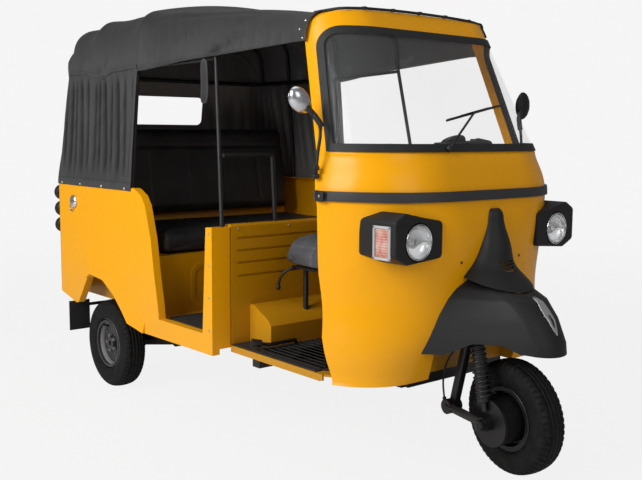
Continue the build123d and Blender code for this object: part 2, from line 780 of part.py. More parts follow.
def canopy_points(row, inset):
    """Left half of a cross section moved in by inset: eave, corner start, middle and end, crown."""
    slope = sqrt(1 + row.lean ** 2)
    ex = row.eave - inset * slope
    radius = row.corner_r - inset
    crown = row.crown_r - inset
    hub_z = row.top - row.crown_r
    # centre of the corner: radius inside the side line, crown - radius from the crown's centre
    px, pz = ex - radius * slope, row.eave_z
    ux, uz = -row.lean / slope, 1 / slope
    along = px * ux + (pz - hub_z) * uz
    apart = px ** 2 + (pz - hub_z) ** 2 - (crown - radius) ** 2
    rise = -along + sqrt(along ** 2 - apart)
    cx, cz = px + rise * ux, pz + rise * uz
    start = (cx + radius / slope, cz + radius * row.lean / slope)
    reach = hypot(cx, cz - hub_z)
    end = (cx * (1 + radius / reach), cz + (cz - hub_z) * radius / reach)
    mx, mz = start[0] + end[0] - 2 * cx, start[1] + end[1] - 2 * cz
    middle = (cx + mx * radius / hypot(mx, mz), cz + mz * radius / hypot(mx, mz))
    return (ex, row.eave_z), start, middle, end, (0, row.top - inset)


def roof_loft(inset, drop, first, last):
    """Solid under the canopy's skin moved in by inset, reaching drop below the eaves."""
    with BuildPart() as roof:
        for st in [first] + [r.st for r in canopy_rows if first < r.st < last] + [last]:
            eave, start, middle, end, top = canopy_points(row_at(st), inset)
            (ex, ez), flip = eave, (lambda p: (-p[0], p[1]))
            with BuildSketch(Plane.XZ.offset(-at(st))):
                with BuildLine():
                    Line(eave, start)
                    ThreePointArc(start, middle, end)
                    ThreePointArc(end, top, flip(end))
                    ThreePointArc(flip(end), flip(middle), flip(start))
                    Polyline(flip(start), flip(eave), (-ex, ez - drop), (ex, ez - drop), eave)
                make_face()
        loft(ruled=True)
    return roof.part


curtain_front_st = 1634
curtain_foot = 948
canopy_end = canopy_rows[-1].st


def curtain_loft(inset):
    """Solid inside the side and rear curtains, from their foot to the eaves."""
    with BuildPart() as body:
        foot = (body_half + 0.6 + curtain_t, rear_face_st + 0.6 + curtain_t)
        for z, (half, back) in ((curtain_foot, foot), (side_top + 4, foot), (1490, (591, canopy_end))):
            with BuildSketch(Plane.XY.offset(z)):
                with Locations((0, at(back - 600 - inset))):
                    RectangleRounded(2 * (half - inset), 1200, rear_corner_r + curtain_t - inset)
        loft(ruled=True)
    return body.part


with BuildPart() as canopy_cover:
    add(roof_loft(0, 5, 600, canopy_end))
    add(roof_loft(canopy_t, 40, 560, canopy_end - canopy_t), mode=Mode.SUBTRACT)
    with BuildPart(mode=Mode.PRIVATE) as curtains:
        add(curtain_loft(0))
        add(curtain_loft(curtain_t), mode=Mode.SUBTRACT)
        add(block(-800, 800, 900, curtain_front_st, 800, 1600), mode=Mode.SUBTRACT)
    add(curtains.part)
    add(front_prism([(-window_half, window_z[0]), (window_half, window_z[0]), (window_half, window_z[1]),
                     (-window_half, window_z[1])], 2300, 2500, 30), mode=Mode.SUBTRACT)

# Canopy frame: poles, hoops, side and rear rails, uprights, grab rail
pole_foot = (567, 1014, 838)
rail_z = 1484


def hoop_tube(st, radius):
    """Tube bent to the canopy's cross section, from eave to eave."""
    points = canopy_points(row_at(st), canopy_t + touch + radius)
    eave, start, middle, end, top = [(x, at(st), z) for x, z in points]
    flip = (lambda p: (-p[0], p[1], p[2]))
    with BuildPart() as tube:
        with BuildLine() as path:
            Line(eave, start)
            ThreePointArc(start, middle, end)
            ThreePointArc(end, top, flip(end))
            ThreePointArc(flip(end), flip(middle), flip(start))
            Line(flip(start), flip(eave))
        with BuildSketch(Plane(origin=path.line @ 0, z_dir=path.line % 0)):
            Circle(radius)
        sweep()
    return tube.part


upright_r = 8
side_rail_r = 10
pole_half = canopy_points(row_at(1134), canopy_t + touch + hoop_r)[0][0]
rail_front_hoop = 1640
grab_z = 1120
rear_rail_st = canopy_end - canopy_t - 14
eave_half = canopy_points(row_at(1640), canopy_t + touch + side_rail_r)[0][0]
rear_half = canopy_points(row_at(rear_rail_st), canopy_t + touch + side_rail_r)[0][0]
rear_hoop_st = canopy_rows[-2].st - 12      # ahead of where the roof turns down
hoop_stations = [1134, 1640, 2050, rear_hoop_st]
with BuildPart() as canopy_hoops:
    for st in hoop_stations:
        add(hoop_tube(st, hoop_r))

with BuildPart() as canopy_rails:
    add(rod([(-eave_half, rail_front_hoop, rail_z), (-rear_half, rear_rail_st, rail_z),
             (rear_half, rear_rail_st, rail_z), (eave_half, rail_front_hoop, rail_z)], side_rail_r, 60))
    for side in (-1, 1):
        add(rod([(side * eave_half, 1652, rail_z - 6), (side * 612, 1656, side_top)], upright_r))
        add(rod([(side * eave_half, 2050, rail_z - 6), (side * 612, 2050, side_top)], upright_r))
    add(canopy_hoops.part, mode=Mode.SUBTRACT)
    add(side_panels.part, mode=Mode.SUBTRACT)

with BuildPart() as canopy_poles:
    for side in (-1, 1):
        add(rod([(side * 552, 1022, grab_z), (side * 320, 1012, grab_z), (side * 306, 1010, bulkhead_top)],
                9, 14))
        add(rod([(side * pole_foot[0], 1014, pole_foot[2]), (side * pole_half, 1130, 1508)], upright_r))
        add(rod([(side * (eave_half - 5), rail_front_hoop - 4, rail_z + 4),
                 (side * (pole_half + 1), 1138, 1500)], 7))
    add(canopy_hoops.part, mode=Mode.SUBTRACT)
    add(canopy_rails.part, mode=Mode.SUBTRACT)
    add(side_panels.part, mode=Mode.SUBTRACT)
    add(bulkhead.part, mode=Mode.SUBTRACT)

# Brake pedal and the hand lever of the starter with its knob
pedal_x = 150
with BuildPart() as controls:
    add(rod([(pedal_x, 330, cab_floor_top), (pedal_x, 345, 420), (pedal_x, 392, 470)], 8, 12))
    add(side_prism([(378, 462), (384, 458), (412, 492), (406, 496)], 34).moved(Pos(pedal_x, 0, 0)))
    add(rod([(-330, 838, 372), (-350, 820, 388), (-480, 816, 388), (-520, 830, 396)], 7, 8))
    add(rod([(-512, 827, 394), (-548, 840, 402)], 15))
    add(floor_mats.part, mode=Mode.SUBTRACT)
    add(floor_pans.part, mode=Mode.SUBTRACT)

# ------------------------------------------------------------- small body pieces
with BuildPart() as mudflaps:
    for side in (-1, 1):
        add(block(side * 602 - 54, side * 602 + 54, flap_st, flap_st + 5, 220, 368))

lamp_x_rear = 578
tail_heights = [735, 818, 901]
tail_r = 38
tail_depth = overall_length - front_overhang - rear_face_st
with BuildPart() as tail_lamps:
    for side in (-1, 1):
        for z in tail_heights:
            with BuildSketch(Plane.XZ.offset(-at(rear_face_st + tail_depth))):
                with Locations((side * (lamp_x_rear - 20), z)):
                    Circle(tail_r)
            extrude(amount=tail_depth - touch)
    fillet(tail_lamps.edges().filter_by(GeomType.CIRCLE).group_by(Axis.Y)[-1], 12)

with BuildPart() as filler_cap:
    add(drum(-body_half - 14, -body_half - touch, 2211, 870, 34))
    fillet(filler_cap.faces().sort_by(Axis.X)[0].edges(), 5)

head_w = 44
with BuildPart() as mirror_right:
    add(rod([(-566, 440, 1052), (-566, 440, 1120), (-590, 452, 1250), (-612, 474, 1316)], 6, 20))
    with BuildPart(mode=Mode.PRIVATE) as shell:
        with BuildSketch(Plane.XZ.offset(-at(492))):
            with Locations((-616, 1332)):
                Ellipse(head_w, 54)
        extrude(amount=34)
        fillet(shell.faces().sort_by(Axis.Y)[0].edges(), 16)
    add(shell.part)
    add(block(-580, -530, 432, 448, 1046, 1100, 4))
    add(nose_clear, mode=Mode.SUBTRACT)

with BuildPart() as glass_right:
    with BuildSketch(Plane.XZ.offset(-at(492 + 3 + touch))):
        with Locations((-616, 1332)):
            Ellipse(head_w - 5, 48)
    extrude(amount=3)

with BuildPart() as mirrors:
    for shape in (mirror_right.part, glass_right.part):
        add(shape)
        add(mirrored(shape))

# --------------------------------------------------------------- steering and fork
leg_x = -135
crown_z = 618
hose_r = 3.5
hose_route = [(-150, 124, 470), (-152, 150, 440), (-156, 182, 400), (-160, 198, 350), (-164, 200, 300),
              (-166, 190, 262)]
gland_r = 7


def gland(end, inner, length):
    """Union on the hose's line, running on from its end away from the point inner."""
    end, inner = (Vector(x, at(st), z) for x, st, z in (end, inner))
    line = (end - inner).normalized()
    return Solid.make_cylinder(gland_r, length, Plane(origin=end, z_dir=line))


with BuildPart() as fork_straight:
    add(along_axis(crown_z, 1128, column_r))
    add(rod([(0, axis_st(crown_z - 14), crown_z - 14), (0, axis_st(crown_z + 20), crown_z + 20)], 30))
    add(rod([(0, axis_st(crown_z), crown_z), (-70, 104, 606), (leg_x, 84, 548), (leg_x, 80, 500)], 20, 28))
    add(beam((leg_x, 82.5, 520), (leg_x, 170, 240), 32, 30))
    add(drum(leg_x - 16, leg_x + 16, 168, 232, 24))
    add(gland(hose_route[0], hose_route[1], 36))

with BuildPart() as arm_straight:
    add(beam((-164, 172, 231), (-142, 0, tyre_r), 24, 40))
    add(drum(-178, leg_x - 16 - touch, 168, 232, 27))
    add(drum(-156, -124, 0, tyre_r, 26))
    add(drum(-164, 44, 0, tyre_r, axle_r))
    add(drum(-168, -154, 0, tyre_r, 20))
    add(drum(-123, -108, 0, tyre_r, 86))
    add(gland(hose_route[-1], hose_route[-2], 24))
    add(fork_straight.part, mode=Mode.SUBTRACT)

shock_foot = (-134, 6, 252)
shock_head = (-124, 62, 548)
with BuildPart() as shock_straight:
    add(rod([shock_foot, shock_head], 9))
    add(rod([(-133, 14, 286), (-126, 50, 486)], 23))
    add(rod([(-126, 50, 484), (-124.6, 58, 530)], 15))
    add(drum(-150, -112, 60, 548, 16))
    add(rod([(-126, 62, 548), (leg_x, 92, 540)], 10))
    add(arm_straight.part, mode=Mode.SUBTRACT)
    add(fork_straight.part, mode=Mode.SUBTRACT)

with BuildPart() as bar_straight:
    add(rod([(-310, 476, 1150), (-190, 420, 1168), (-80, 300, 1136), (80, 300, 1136), (190, 420, 1168),
             (310, 476, 1150)], 11, 40))
    add(block(-84, 84, 262, 342, 1104, 1180, 16))
    add(rod([(-310, 476, 1150), (-205, 427, 1165.8)], 16))
    add(rod([(310, 476, 1150), (205, 427, 1165.8)], 16))
    add(fork_straight.part, mode=Mode.SUBTRACT)

# Brake hose, held by a union on the fork leg and one on the link arm
hose_points = [Vector(x, at(st), z) for x, st, z in hose_route]
hose_runs = [b - a for a, b in zip(hose_points, hose_points[1:])]
hose_radii = [0.45 * min(a.length, b.length) / tan(radians(a.get_angle(b) / 2))
              for a, b in zip(hose_runs, hose_runs[1:])]
print("brake hose radii", [round(r) for r in hose_radii])
with BuildPart() as hose_straight:
    with BuildLine() as hose_line:
        FilletPolyline(*hose_points, radius=hose_radii)
    with BuildSketch(Plane(origin=hose_line.line @ 0, z_dir=hose_line.line % 0)):
        Circle(hose_r)
    sweep()


def tyre_ring():
    """Tyre about the X axis, with its crown, shoulders and beads."""
    w = tyre_width / 2
    seat = rim_od / 2 - 12
    with BuildPart() as ring:
        with BuildSketch(Plane.XY):
            with BuildLine():
                ThreePointArc((-38, tyre_r - 6), (0, tyre_r), (38, tyre_r - 6))
                ThreePointArc((38, tyre_r - 6), (46, tyre_r - 11), (50, tyre_r - 22))
                ThreePointArc((50, tyre_r - 22), (w, tyre_r - 50), (44, seat + 16))
                Polyline((44, seat + 16), (40, seat + 12), (40, seat + touch), (-40, seat + touch),
                         (-40, seat + 12), (-44, seat + 16))
                ThreePointArc((-44, seat + 16), (-w, tyre_r - 50), (-50, tyre_r - 22))
                ThreePointArc((-50, tyre_r - 22), (-46, tyre_r - 11), (-38, tyre_r - 6))
            make_face()
        revolve(axis=Axis.X)
    return ring.part


def wheel_rim(drum_from, drum_to, drum_r):
    """Rim, dished disc, hub and brake drum about the X axis; the disc faces -X."""
    seat = rim_od / 2 - 12
    with BuildPart() as rim:
        for x0, x1, outer, inner in (
            (-rim_half, rim_half, seat, seat - 5),
            (-rim_half, -40 - touch, rim_od / 2, seat - 5),
            (40 + touch, rim_half, rim_od / 2, seat - 5),
            (-16, -11, seat - 4, 20),
            (-34, 40, 30, axle_r),
            (drum_from, drum_to, drum_r, 20),
        ):
            with BuildSketch(Plane.YZ.offset(x0)):
                Circle(outer)
                Circle(inner, mode=Mode.SUBTRACT)
            extrude(amount=x1 - x0)
        with BuildSketch(Plane.YZ.offset(-200)):
            Circle(axle_r + touch)
        extrude(amount=400, mode=Mode.SUBTRACT)
    return rim.part


# The whole steering group is turned to its rest, then slid along the head tube
# until the tyre stands on the floor.
tyre_ahead = Pos(0, at(0), tyre_r) * tyre_ring()
settle = -tyre_ahead.rotate(steering_axis, rest_turn).bounding_box().min.Z / cos(rake)


def turned(shape):
    """A steering or front wheel piece, from straight ahead to its rest."""
    slide = settle * Vector(0, sin(rake), cos(rake))
    return Pos(slide.X, slide.Y, slide.Z) * shape.rotate(steering_axis, rest_turn)


wheel_line = turned(Edge.make_line((-100, at(0), tyre_r), (100, at(0), tyre_r)))
print("front wheel centre %.4f %.4f %.4f" % tuple(wheel_line @ 0.5))
print("front wheel axis %.6f %.6f %.6f" % tuple(wheel_line % 0.5))

with BuildPart() as fork:
    add(turned(fork_straight.part))

with BuildPart() as handlebar:
    add(turned(bar_straight.part))

with BuildPart() as link_arm:
    add(turned(arm_straight.part))

with BuildPart() as front_shock:
    add(turned(shock_straight.part))

with BuildPart() as brake_hose:
    add(turned(hose_straight.part))

with BuildPart() as front_tyre:
    add(turned(tyre_ahead))

with BuildPart() as front_rim:
    add(turned(Pos(0, at(0), tyre_r) * wheel_rim(-106, -20, 86)))

with BuildPart() as rear_tyre_right:
    add(Pos(-rear_track / 2, rear_axle_y, tyre_r) * tyre_ring())

with BuildPart() as rear_rim_right:
    add(Pos(-rear_track / 2, rear_axle_y, tyre_r) * wheel_rim(-12, 52, 84))

with BuildPart() as rear_tyre_left:
    add(mirrored(rear_tyre_right.part))

with BuildPart() as rear_rim_left:
    add(mirrored(rear_rim_right.part))

# ------------------------------------------------------------------------ export
front_panel.part.label = "front_panel"
export_step(front_panel.part, "parts/front_panel.step")
wheel_well.part.label = "wheel_well"
export_step(wheel_well.part, "parts/wheel_well.step")
windscreen_frame.part.label = "windscreen_frame"
export_step(windscreen_frame.part, "parts/windscreen_frame.step")
windscreen_gasket.part.label = "windscreen_gasket"
export_step(windscreen_gasket.part, "parts/windscreen_gasket.step")
windscreen_glass.part.label = "windscreen_glass"
export_step(windscreen_glass.part, "parts/windscreen_glass.step")
belt_strip.part.label = "belt_strip"
export_step(belt_strip.part, "parts/belt_strip.step")
dashboard.part.label = "dashboard"
export_step(dashboard.part, "parts/dashboard.step")
front_fender.part.label = "front_fender"
export_step(front_fender.part, "parts/front_fender.step")
nose_cone.part.label = "nose_cone"
export_step(nose_cone.part, "parts/nose_cone.step")
headlamp_housings.part.label = "headlamp_housings"
export_step(headlamp_housings.part, "parts/headlamp_housings.step")
headlamp_lenses.part.label = "headlamp_lenses"
export_step(headlamp_lenses.part, "parts/headlamp_lenses.step")
front_indicators.part.label = "front_indicators"
export_step(front_indicators.part, "parts/front_indicators.step")
chassis_frame.part.label = "chassis_frame"
export_step(chassis_frame.part, "parts/chassis_frame.step")
floor_pans.part.label = "floor_pans"
export_step(floor_pans.part, "parts/floor_pans.step")
bulkhead.part.label = "bulkhead"
export_step(bulkhead.part, "parts/bulkhead.step")
seat_stand.part.label = "seat_stand"
export_step(seat_stand.part, "parts/seat_stand.step")
driver_cushion.part.label = "driver_cushion"
export_step(driver_cushion.part, "parts/driver_cushion.step")
floor_mats.part.label = "floor_mats"
export_step(floor_mats.part, "parts/floor_mats.step")
side_panels.part.label = "side_panels"
export_step(side_panels.part, "parts/side_panels.step")
back_panel.part.label = "back_panel"
export_step(back_panel.part, "parts/back_panel.step")
engine_lid.part.label = "engine_lid"
export_step(engine_lid.part, "parts/engine_lid.step")
seat_base.part.label = "seat_base"
export_step(seat_base.part, "parts/seat_base.step")
passenger_cushion.part.label = "passenger_cushion"
export_step(passenger_cushion.part, "parts/passenger_cushion.step")
passenger_backrest.part.label = "passenger_backrest"
export_step(passenger_backrest.part, "parts/passenger_backrest.step")
engine.part.label = "engine"
export_step(engine.part, "parts/engine.step")
rear_suspension.part.label = "rear_suspension"
export_step(rear_suspension.part, "parts/rear_suspension.step")
canopy_cover.part.label = "canopy_cover"
export_step(canopy_cover.part, "parts/canopy_cover.step")
canopy_hoops.part.label = "canopy_hoops"
export_step(canopy_hoops.part, "parts/canopy_hoops.step")
canopy_rails.part.label = "canopy_rails"
export_step(canopy_rails.part, "parts/canopy_rails.step")
canopy_poles.part.label = "canopy_poles"
export_step(canopy_poles.part, "parts/canopy_poles.step")
controls.part.label = "controls"
export_step(controls.part, "parts/controls.step")
mudflaps.part.label = "mudflaps"
export_step(mudflaps.part, "parts/mudflaps.step")
tail_lamps.part.label = "tail_lamps"
export_step(tail_lamps.part, "parts/tail_lamps.step")
filler_cap.part.label = "filler_cap"
export_step(filler_cap.part, "parts/filler_cap.step")
mirrors.part.label = "mirrors"
export_step(mirrors.part, "parts/mirrors.step")
fork.part.label = "fork"
export_step(fork.part, "parts/fork.step")
handlebar.part.label = "handlebar"
export_step(handlebar.part, "parts/handlebar.step")
link_arm.part.label = "link_arm"
export_step(link_arm.part, "parts/link_arm.step")
front_shock.part.label = "front_shock"
export_step(front_shock.part, "parts/front_shock.step")
brake_hose.part.label = "brake_hose"
export_step(brake_hose.part, "parts/brake_hose.step")
front_tyre.part.label = "front_tyre"
export_step(front_tyre.part, "parts/front_tyre.step")
front_rim.part.label = "front_rim"
export_step(front_rim.part, "parts/front_rim.step")
rear_tyre_right.part.label = "rear_tyre_right"
export_step(rear_tyre_right.part, "parts/rear_tyre_right.step")
rear_rim_right.part.label = "rear_rim_right"
export_step(rear_rim_right.part, "parts/rear_rim_right.step")
rear_tyre_left.part.label = "rear_tyre_left"
export_step(rear_tyre_left.part, "parts/rear_tyre_left.step")
rear_rim_left.part.label = "rear_rim_left"
export_step(rear_rim_left.part, "parts/rear_rim_left.step")
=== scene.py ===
"""Auto rickshaw: the finished look of the three-wheeler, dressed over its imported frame."""
import json
import math
import bmesh
import bpy
import numpy as np
from mathutils import Matrix, Vector
from mathutils.bvhtree import BVHTree


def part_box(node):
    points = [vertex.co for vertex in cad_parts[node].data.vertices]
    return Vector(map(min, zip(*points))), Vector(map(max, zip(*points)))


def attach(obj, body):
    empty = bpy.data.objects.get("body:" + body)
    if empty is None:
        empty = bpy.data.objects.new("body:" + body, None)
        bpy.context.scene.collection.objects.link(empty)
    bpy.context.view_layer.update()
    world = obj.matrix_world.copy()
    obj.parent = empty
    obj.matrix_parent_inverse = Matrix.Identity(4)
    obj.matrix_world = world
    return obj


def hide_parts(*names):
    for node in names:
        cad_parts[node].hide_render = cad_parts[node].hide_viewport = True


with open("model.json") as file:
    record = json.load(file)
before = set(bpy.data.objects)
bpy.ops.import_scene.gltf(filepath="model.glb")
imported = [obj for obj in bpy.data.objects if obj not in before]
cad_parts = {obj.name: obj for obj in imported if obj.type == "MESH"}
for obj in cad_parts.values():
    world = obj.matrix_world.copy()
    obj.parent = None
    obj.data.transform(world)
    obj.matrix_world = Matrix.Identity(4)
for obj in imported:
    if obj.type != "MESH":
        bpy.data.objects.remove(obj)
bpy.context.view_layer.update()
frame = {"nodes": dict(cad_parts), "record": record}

scene = bpy.context.scene
nodes = frame["nodes"]
joints = {j["name"]: j for j in frame["record"]["behaviour"]["joints"]}

# ------------------------------------------------------------------ places
# Places are (x, station, height) in millimetres; a station is the distance behind the front axle.
low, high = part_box("rear_tyre_right")
WHEELBASE = 1.92
FRONT_AXLE = (low.y + high.y) / 2 - WHEELBASE
SIDES = {-1: "right", 1: "left"}


def spot(x, station, z):
    """Point in metres of a place in millimetres."""
    return Vector((x / 1000, FRONT_AXLE + station / 1000, z / 1000))


def place_of(point):
    """Place in millimetres of a point in metres."""
    return point.x * 1000, (point.y - FRONT_AXLE) * 1000, point.z * 1000


def fold(value, centre, width):
    """Rounded ridge of height 1 at centre."""
    return math.exp(-((value - centre) / width) ** 2)


def ease(value, lo, hi):
    """Smooth step from 0 at lo to 1 at hi."""
    t = min(max((value - lo) / (hi - lo), 0.0), 1.0)
    return t * t * (3 - 2 * t)


# ------------------------------------------------------------------ camera
EYE = (-2539.6, -1943.8, 1207.5)
HEADING, PITCH, ROLL = -40.038, 90 - 6.758, 0.370          # degrees
SENSOR_MM, FOCAL_PX, WIDTH_PX = 36.0, 899.28, 642
cam_data = bpy.data.cameras.new("camera")
cam_data.sensor_width = SENSOR_MM
cam_data.lens = FOCAL_PX / WIDTH_PX * SENSOR_MM
cam_data.clip_end = 100
cam = bpy.data.objects.new("camera", cam_data)
scene.collection.objects.link(cam)
cam.matrix_world = Matrix.Translation(spot(*EYE))
for degrees, axis in ((HEADING, "Z"), (PITCH, "X"), (ROLL, "Z")):
    cam.matrix_world = cam.matrix_world @ Matrix.Rotation(math.radians(degrees), 4, axis)
scene.camera = cam
scene.view_settings.view_transform = "Standard"


# ------------------------------------------------------------------ nodes
def feed(socket, value):
    """Links an output to a socket, or sets a plain value on it."""
    if isinstance(value, bpy.types.NodeSocket):
        socket.id_data.links.new(value, socket)
    elif socket.type == "RGBA":
        socket.default_value = (*value, 1)[:4]
    else:
        socket.default_value = value


def node(tree, kind, out, inputs=None, **settings):
    """Adds a node with its settings and its inputs, by name or number, and returns one of its outputs."""
    made = tree.nodes.new(kind)
    for key, value in settings.items():
        setattr(made, key, value)
    for key, value in (inputs or {}).items():
        feed(made.inputs[key], value)
    return made.outputs[out]


def geometry_tree(name, inputs=()):
    """Geometry node tree with Geometry in and out and more named inputs; returns it and its input outlets."""
    tree = bpy.data.node_groups.new(name, "GeometryNodeTree")
    tree.interface.new_socket("Geometry", in_out="INPUT", socket_type="NodeSocketGeometry")
    for label, kind in inputs:
        tree.interface.new_socket(label, in_out="INPUT", socket_type="NodeSocket" + kind)
    tree.interface.new_socket("Geometry", in_out="OUTPUT", socket_type="NodeSocketGeometry")
    return tree, tree.nodes.new("NodeGroupInput").outputs


class Finish:
    """One node material; each method but done adds a node and returns its output."""

    def __init__(self, name):
        self.material = bpy.data.materials.new(name)
        self.material.use_nodes = True
        self.tree = self.material.node_tree
        self.shader = self.tree.nodes["Principled BSDF"]
        self.place = self.add("TexCoord", "Object")

    def add(self, kind, out, inputs=None, **settings):
        return node(self.tree, "ShaderNode" + kind, out, inputs, **settings)

    def mapped(self, scale):
        return self.add("Mapping", "Vector", {"Scale": scale, "Vector": self.place})

    def noise(self, scale, detail=3.0, rough=0.5, source=None, distortion=0.0):
        return self.add("TexNoise", "Fac", {"Scale": scale, "Detail": detail, "Roughness": rough,
                                            "Distortion": distortion, "Vector": source or self.place})

    def cells(self, scale):
        return self.add("TexVoronoi", "Distance", {"Scale": scale, "Vector": self.place})

    def wave(self, scale, direction):
        return self.add("TexWave", "Fac", {"Scale": scale, "Vector": self.place}, bands_direction=direction)

    def ramp(self, value, *stops):
        """Colours, or levels of grey, at the stops along a value."""
        made = self.tree.nodes.new("ShaderNodeValToRGB")
        for element, (position, colour) in zip(made.color_ramp.elements, stops):
            element.position = position
            element.color = (*colour, 1) if isinstance(colour, tuple) else (colour, colour, colour, 1)
        feed(made.inputs["Fac"], value)
        return made.outputs["Color"]

    def span(self, value, lo, hi):
        """A 0 to 1 value stretched to run from lo to hi."""
        return self.add("MapRange", "Result", {"To Min": lo, "To Max": hi, "Value": value})

    def times(self, a, b):
        return self.add("Math", "Value", {0: a, 1: b}, operation="MULTIPLY")

    def plus(self, a, b):
        return self.add("Math", "Value", {0: a, 1: b}, operation="ADD")

    def mix(self, factor, a, b):
        return self.add("Mix", 2, {0: factor, 6: a, 7: b}, data_type="RGBA")

    def height(self):
        """Object Z as a value."""
        return self.add("SeparateXYZ", "Z", {"Vector": self.place})

    def stored(self, name):
        """A value kept on the mesh's points."""
        return self.add("Attribute", "Fac", attribute_name=name)

    def bump(self, value, strength, distance, under=None):
        inputs = {"Strength": strength, "Distance": distance, "Height": value}
        if under is not None:
            inputs["Normal"] = under
        return self.add("Bump", "Normal", inputs)

    def done(self, colour, rough=None, normal=None, **fixed):
        """The material, with its main sockets fed; the others are named with _ for each space."""
        for name, value in {"Base Color": colour, "Roughness": rough, "Normal": normal, **fixed}.items():
            if value is not None:
                feed(self.shader.inputs[name.replace("_", " ")], value)
        return self.material


# ------------------------------------------------------------------ finishes
def enamel(name, colour, shade, dust=(0.30, 0.22, 0.12)):
    """Stoved body enamel: slight orange peel, a little fading, road dust low down."""
    f = Finish(name)
    low_down = f.ramp(f.plus(f.height(), f.span(f.noise(7, 5), -0.16, 0.16)), (0.36, 1), (0.62, 0))
    speck = f.ramp(f.noise(160, 3, 0.6), (0.52, 0), (0.75, 1))
    dusty = f.times(f.times(low_down, 0.18), f.span(speck, 0.4, 1.0))
    coat = f.mix(f.span(f.noise(2.2, 4), 0.0, 0.35), colour, shade)
    rough = f.plus(f.span(f.noise(30, 4), 0.22, 0.32), f.times(dusty, 0.8))
    return f.done(f.mix(dusty, coat, dust), rough, f.bump(f.noise(420, 2), 0.02, 0.0002),
                  Coat_Weight=0.06, Coat_Roughness=0.12, Specular_IOR_Level=0.18)


def moulding(name, colour, light, rough=0.5, grain=900, depth=0.12):
    """Grained plastic or rubber, paler where it has weathered."""
    f = Finish(name)
    return f.done(f.mix(f.span(f.noise(9, 5, 0.6), 0.0, 0.6), colour, light),
                  f.span(f.noise(25, 4), rough - 0.06, rough + 0.1), f.bump(f.cells(grain), depth, 0.0005),
                  Specular_IOR_Level=0.30)


def dark_metal(name, colour, worn, rough=0.38, metal=0.0):
    """Satin painted steel with dust and small rubbed patches."""
    f = Finish(name)
    patch = f.ramp(f.noise(60, 6, 0.65), (0.56, 0), (0.72, 1))
    return f.done(f.mix(f.times(patch, 0.5), colour, worn), f.span(f.noise(40, 4), rough, rough + 0.2),
                  f.bump(f.noise(260, 3), 0.08, 0.0005), Metallic=metal)


def tyre_finish(name):
    """Tyre rubber, dusty grey in its hollows."""
    f = Finish(name)
    dust = f.ramp(f.noise(35, 6, 0.7), (0.42, (0.003, 0.003, 0.0034)), (0.75, (0.014, 0.0125, 0.011)))
    return f.done(dust, f.span(f.noise(50, 3), 0.62, 0.82), f.bump(f.noise(700, 2), 0.15, 0.0005),
                  Specular_IOR_Level=0.22)


def woven(name, colour, light, threads=900, rough=0.56):
    """Coated cloth: a fine weave, paler where it has faded at random, paler on its fold ridges and darker in its fold
    bottoms as painted highlight and painted shade, and darker over the roof as painted shade.
    """
    f = Finish(name)
    streak = f.noise(6, 5, 0.6, source=f.mapped((3.0, 3.0, 0.6)))
    mottled = f.plus(f.times(f.noise(3.0, 6, 0.62, distortion=0.6), 0.4), f.times(streak, 0.2))
    # Painted highlight and painted shade: the stored proudness makes fold ridges paler and fold bottoms darker, on top
    # of the random fading
    worn = f.ramp(f.plus(mottled, f.times(f.stored("fold_shade"), 0.4)), (0.30, colour), (0.72, light))
    # Painted shade: above about 1.53 m the cloth darkens, up to 62 % of the way toward 0.4 of its colour at about 1.70
    # m
    crown = f.ramp(f.times(f.height(), 0.5), (0.765, 0), (0.85, 1))
    creases = f.bump(f.noise(14, 5, 0.55), 0.22, 0.004, f.bump(streak, 0.5, 0.02))
    weave = f.times(f.wave(threads, "X"), f.wave(threads, "Z"))
    return f.done(f.mix(f.times(crown, 0.62), worn, tuple(c * 0.4 for c in colour)),
                  f.span(f.noise(18, 4), rough - 0.08, rough + 0.1), f.bump(weave, 0.18, 0.0006, creases),
                  Sheen_Weight=0.05, Specular_IOR_Level=0.25)


def hide(name, colour, light, rough, grain=240):
    """Grained vinyl with soft wrinkles, shinier and paler where it is sat on."""
    f = Finish(name)
    wrinkle = f.bump(f.noise(16, 5, 0.6, distortion=1.2), 0.25, 0.004)
    return f.done(f.mix(f.ramp(f.noise(7, 5), (0.35, 0), (0.7, 1)), colour, light),
                  f.span(f.noise(12, 4), rough - 0.08, rough + 0.15), f.bump(f.cells(grain), 0.22, 0.0012, wrinkle),
                  Specular_IOR_Level=0.35)


def clear(name, tint, rough, through):
    """Clear or tinted plastic, a little hazed."""
    f = Finish(name)
    return f.done(tint, f.span(f.noise(20, 3), rough, rough + 0.03), Transmission_Weight=through, IOR=1.45)


def fluted(name, deep, pale, rough, through):
    """Moulded lens: deeper colour along its flutes, paler where the light catches it."""
    f = Finish(name)
    flutes = f.plus(f.times(f.wave(35, "Z"), 0.14), f.times(f.noise(28, 4, 0.7), 0.86))
    return f.done(f.ramp(flutes, (0.38, deep), (0.66, pale)), f.span(f.noise(20, 3), rough, rough + 0.03),
                  Transmission_Weight=through, IOR=1.45)


def pane(name, tint, cover):
    """Clean thin glass: mostly see-through, with a film of dust that varies over it."""
    f = Finish(name)
    return f.done(tint, f.span(f.noise(20, 3), 0.02, 0.05), Alpha=f.span(f.noise(6, 4), cover * 0.7, cover * 1.4))


def bright(name, colour, rough):
    """Plated or polished metal, a little uneven in its shine."""
    f = Finish(name)
    return f.done(colour, f.span(f.noise(90, 3), rough, rough + 0.08), f.bump(f.noise(300, 2), 0.03, 0.0003),
                  Metallic=1.0)


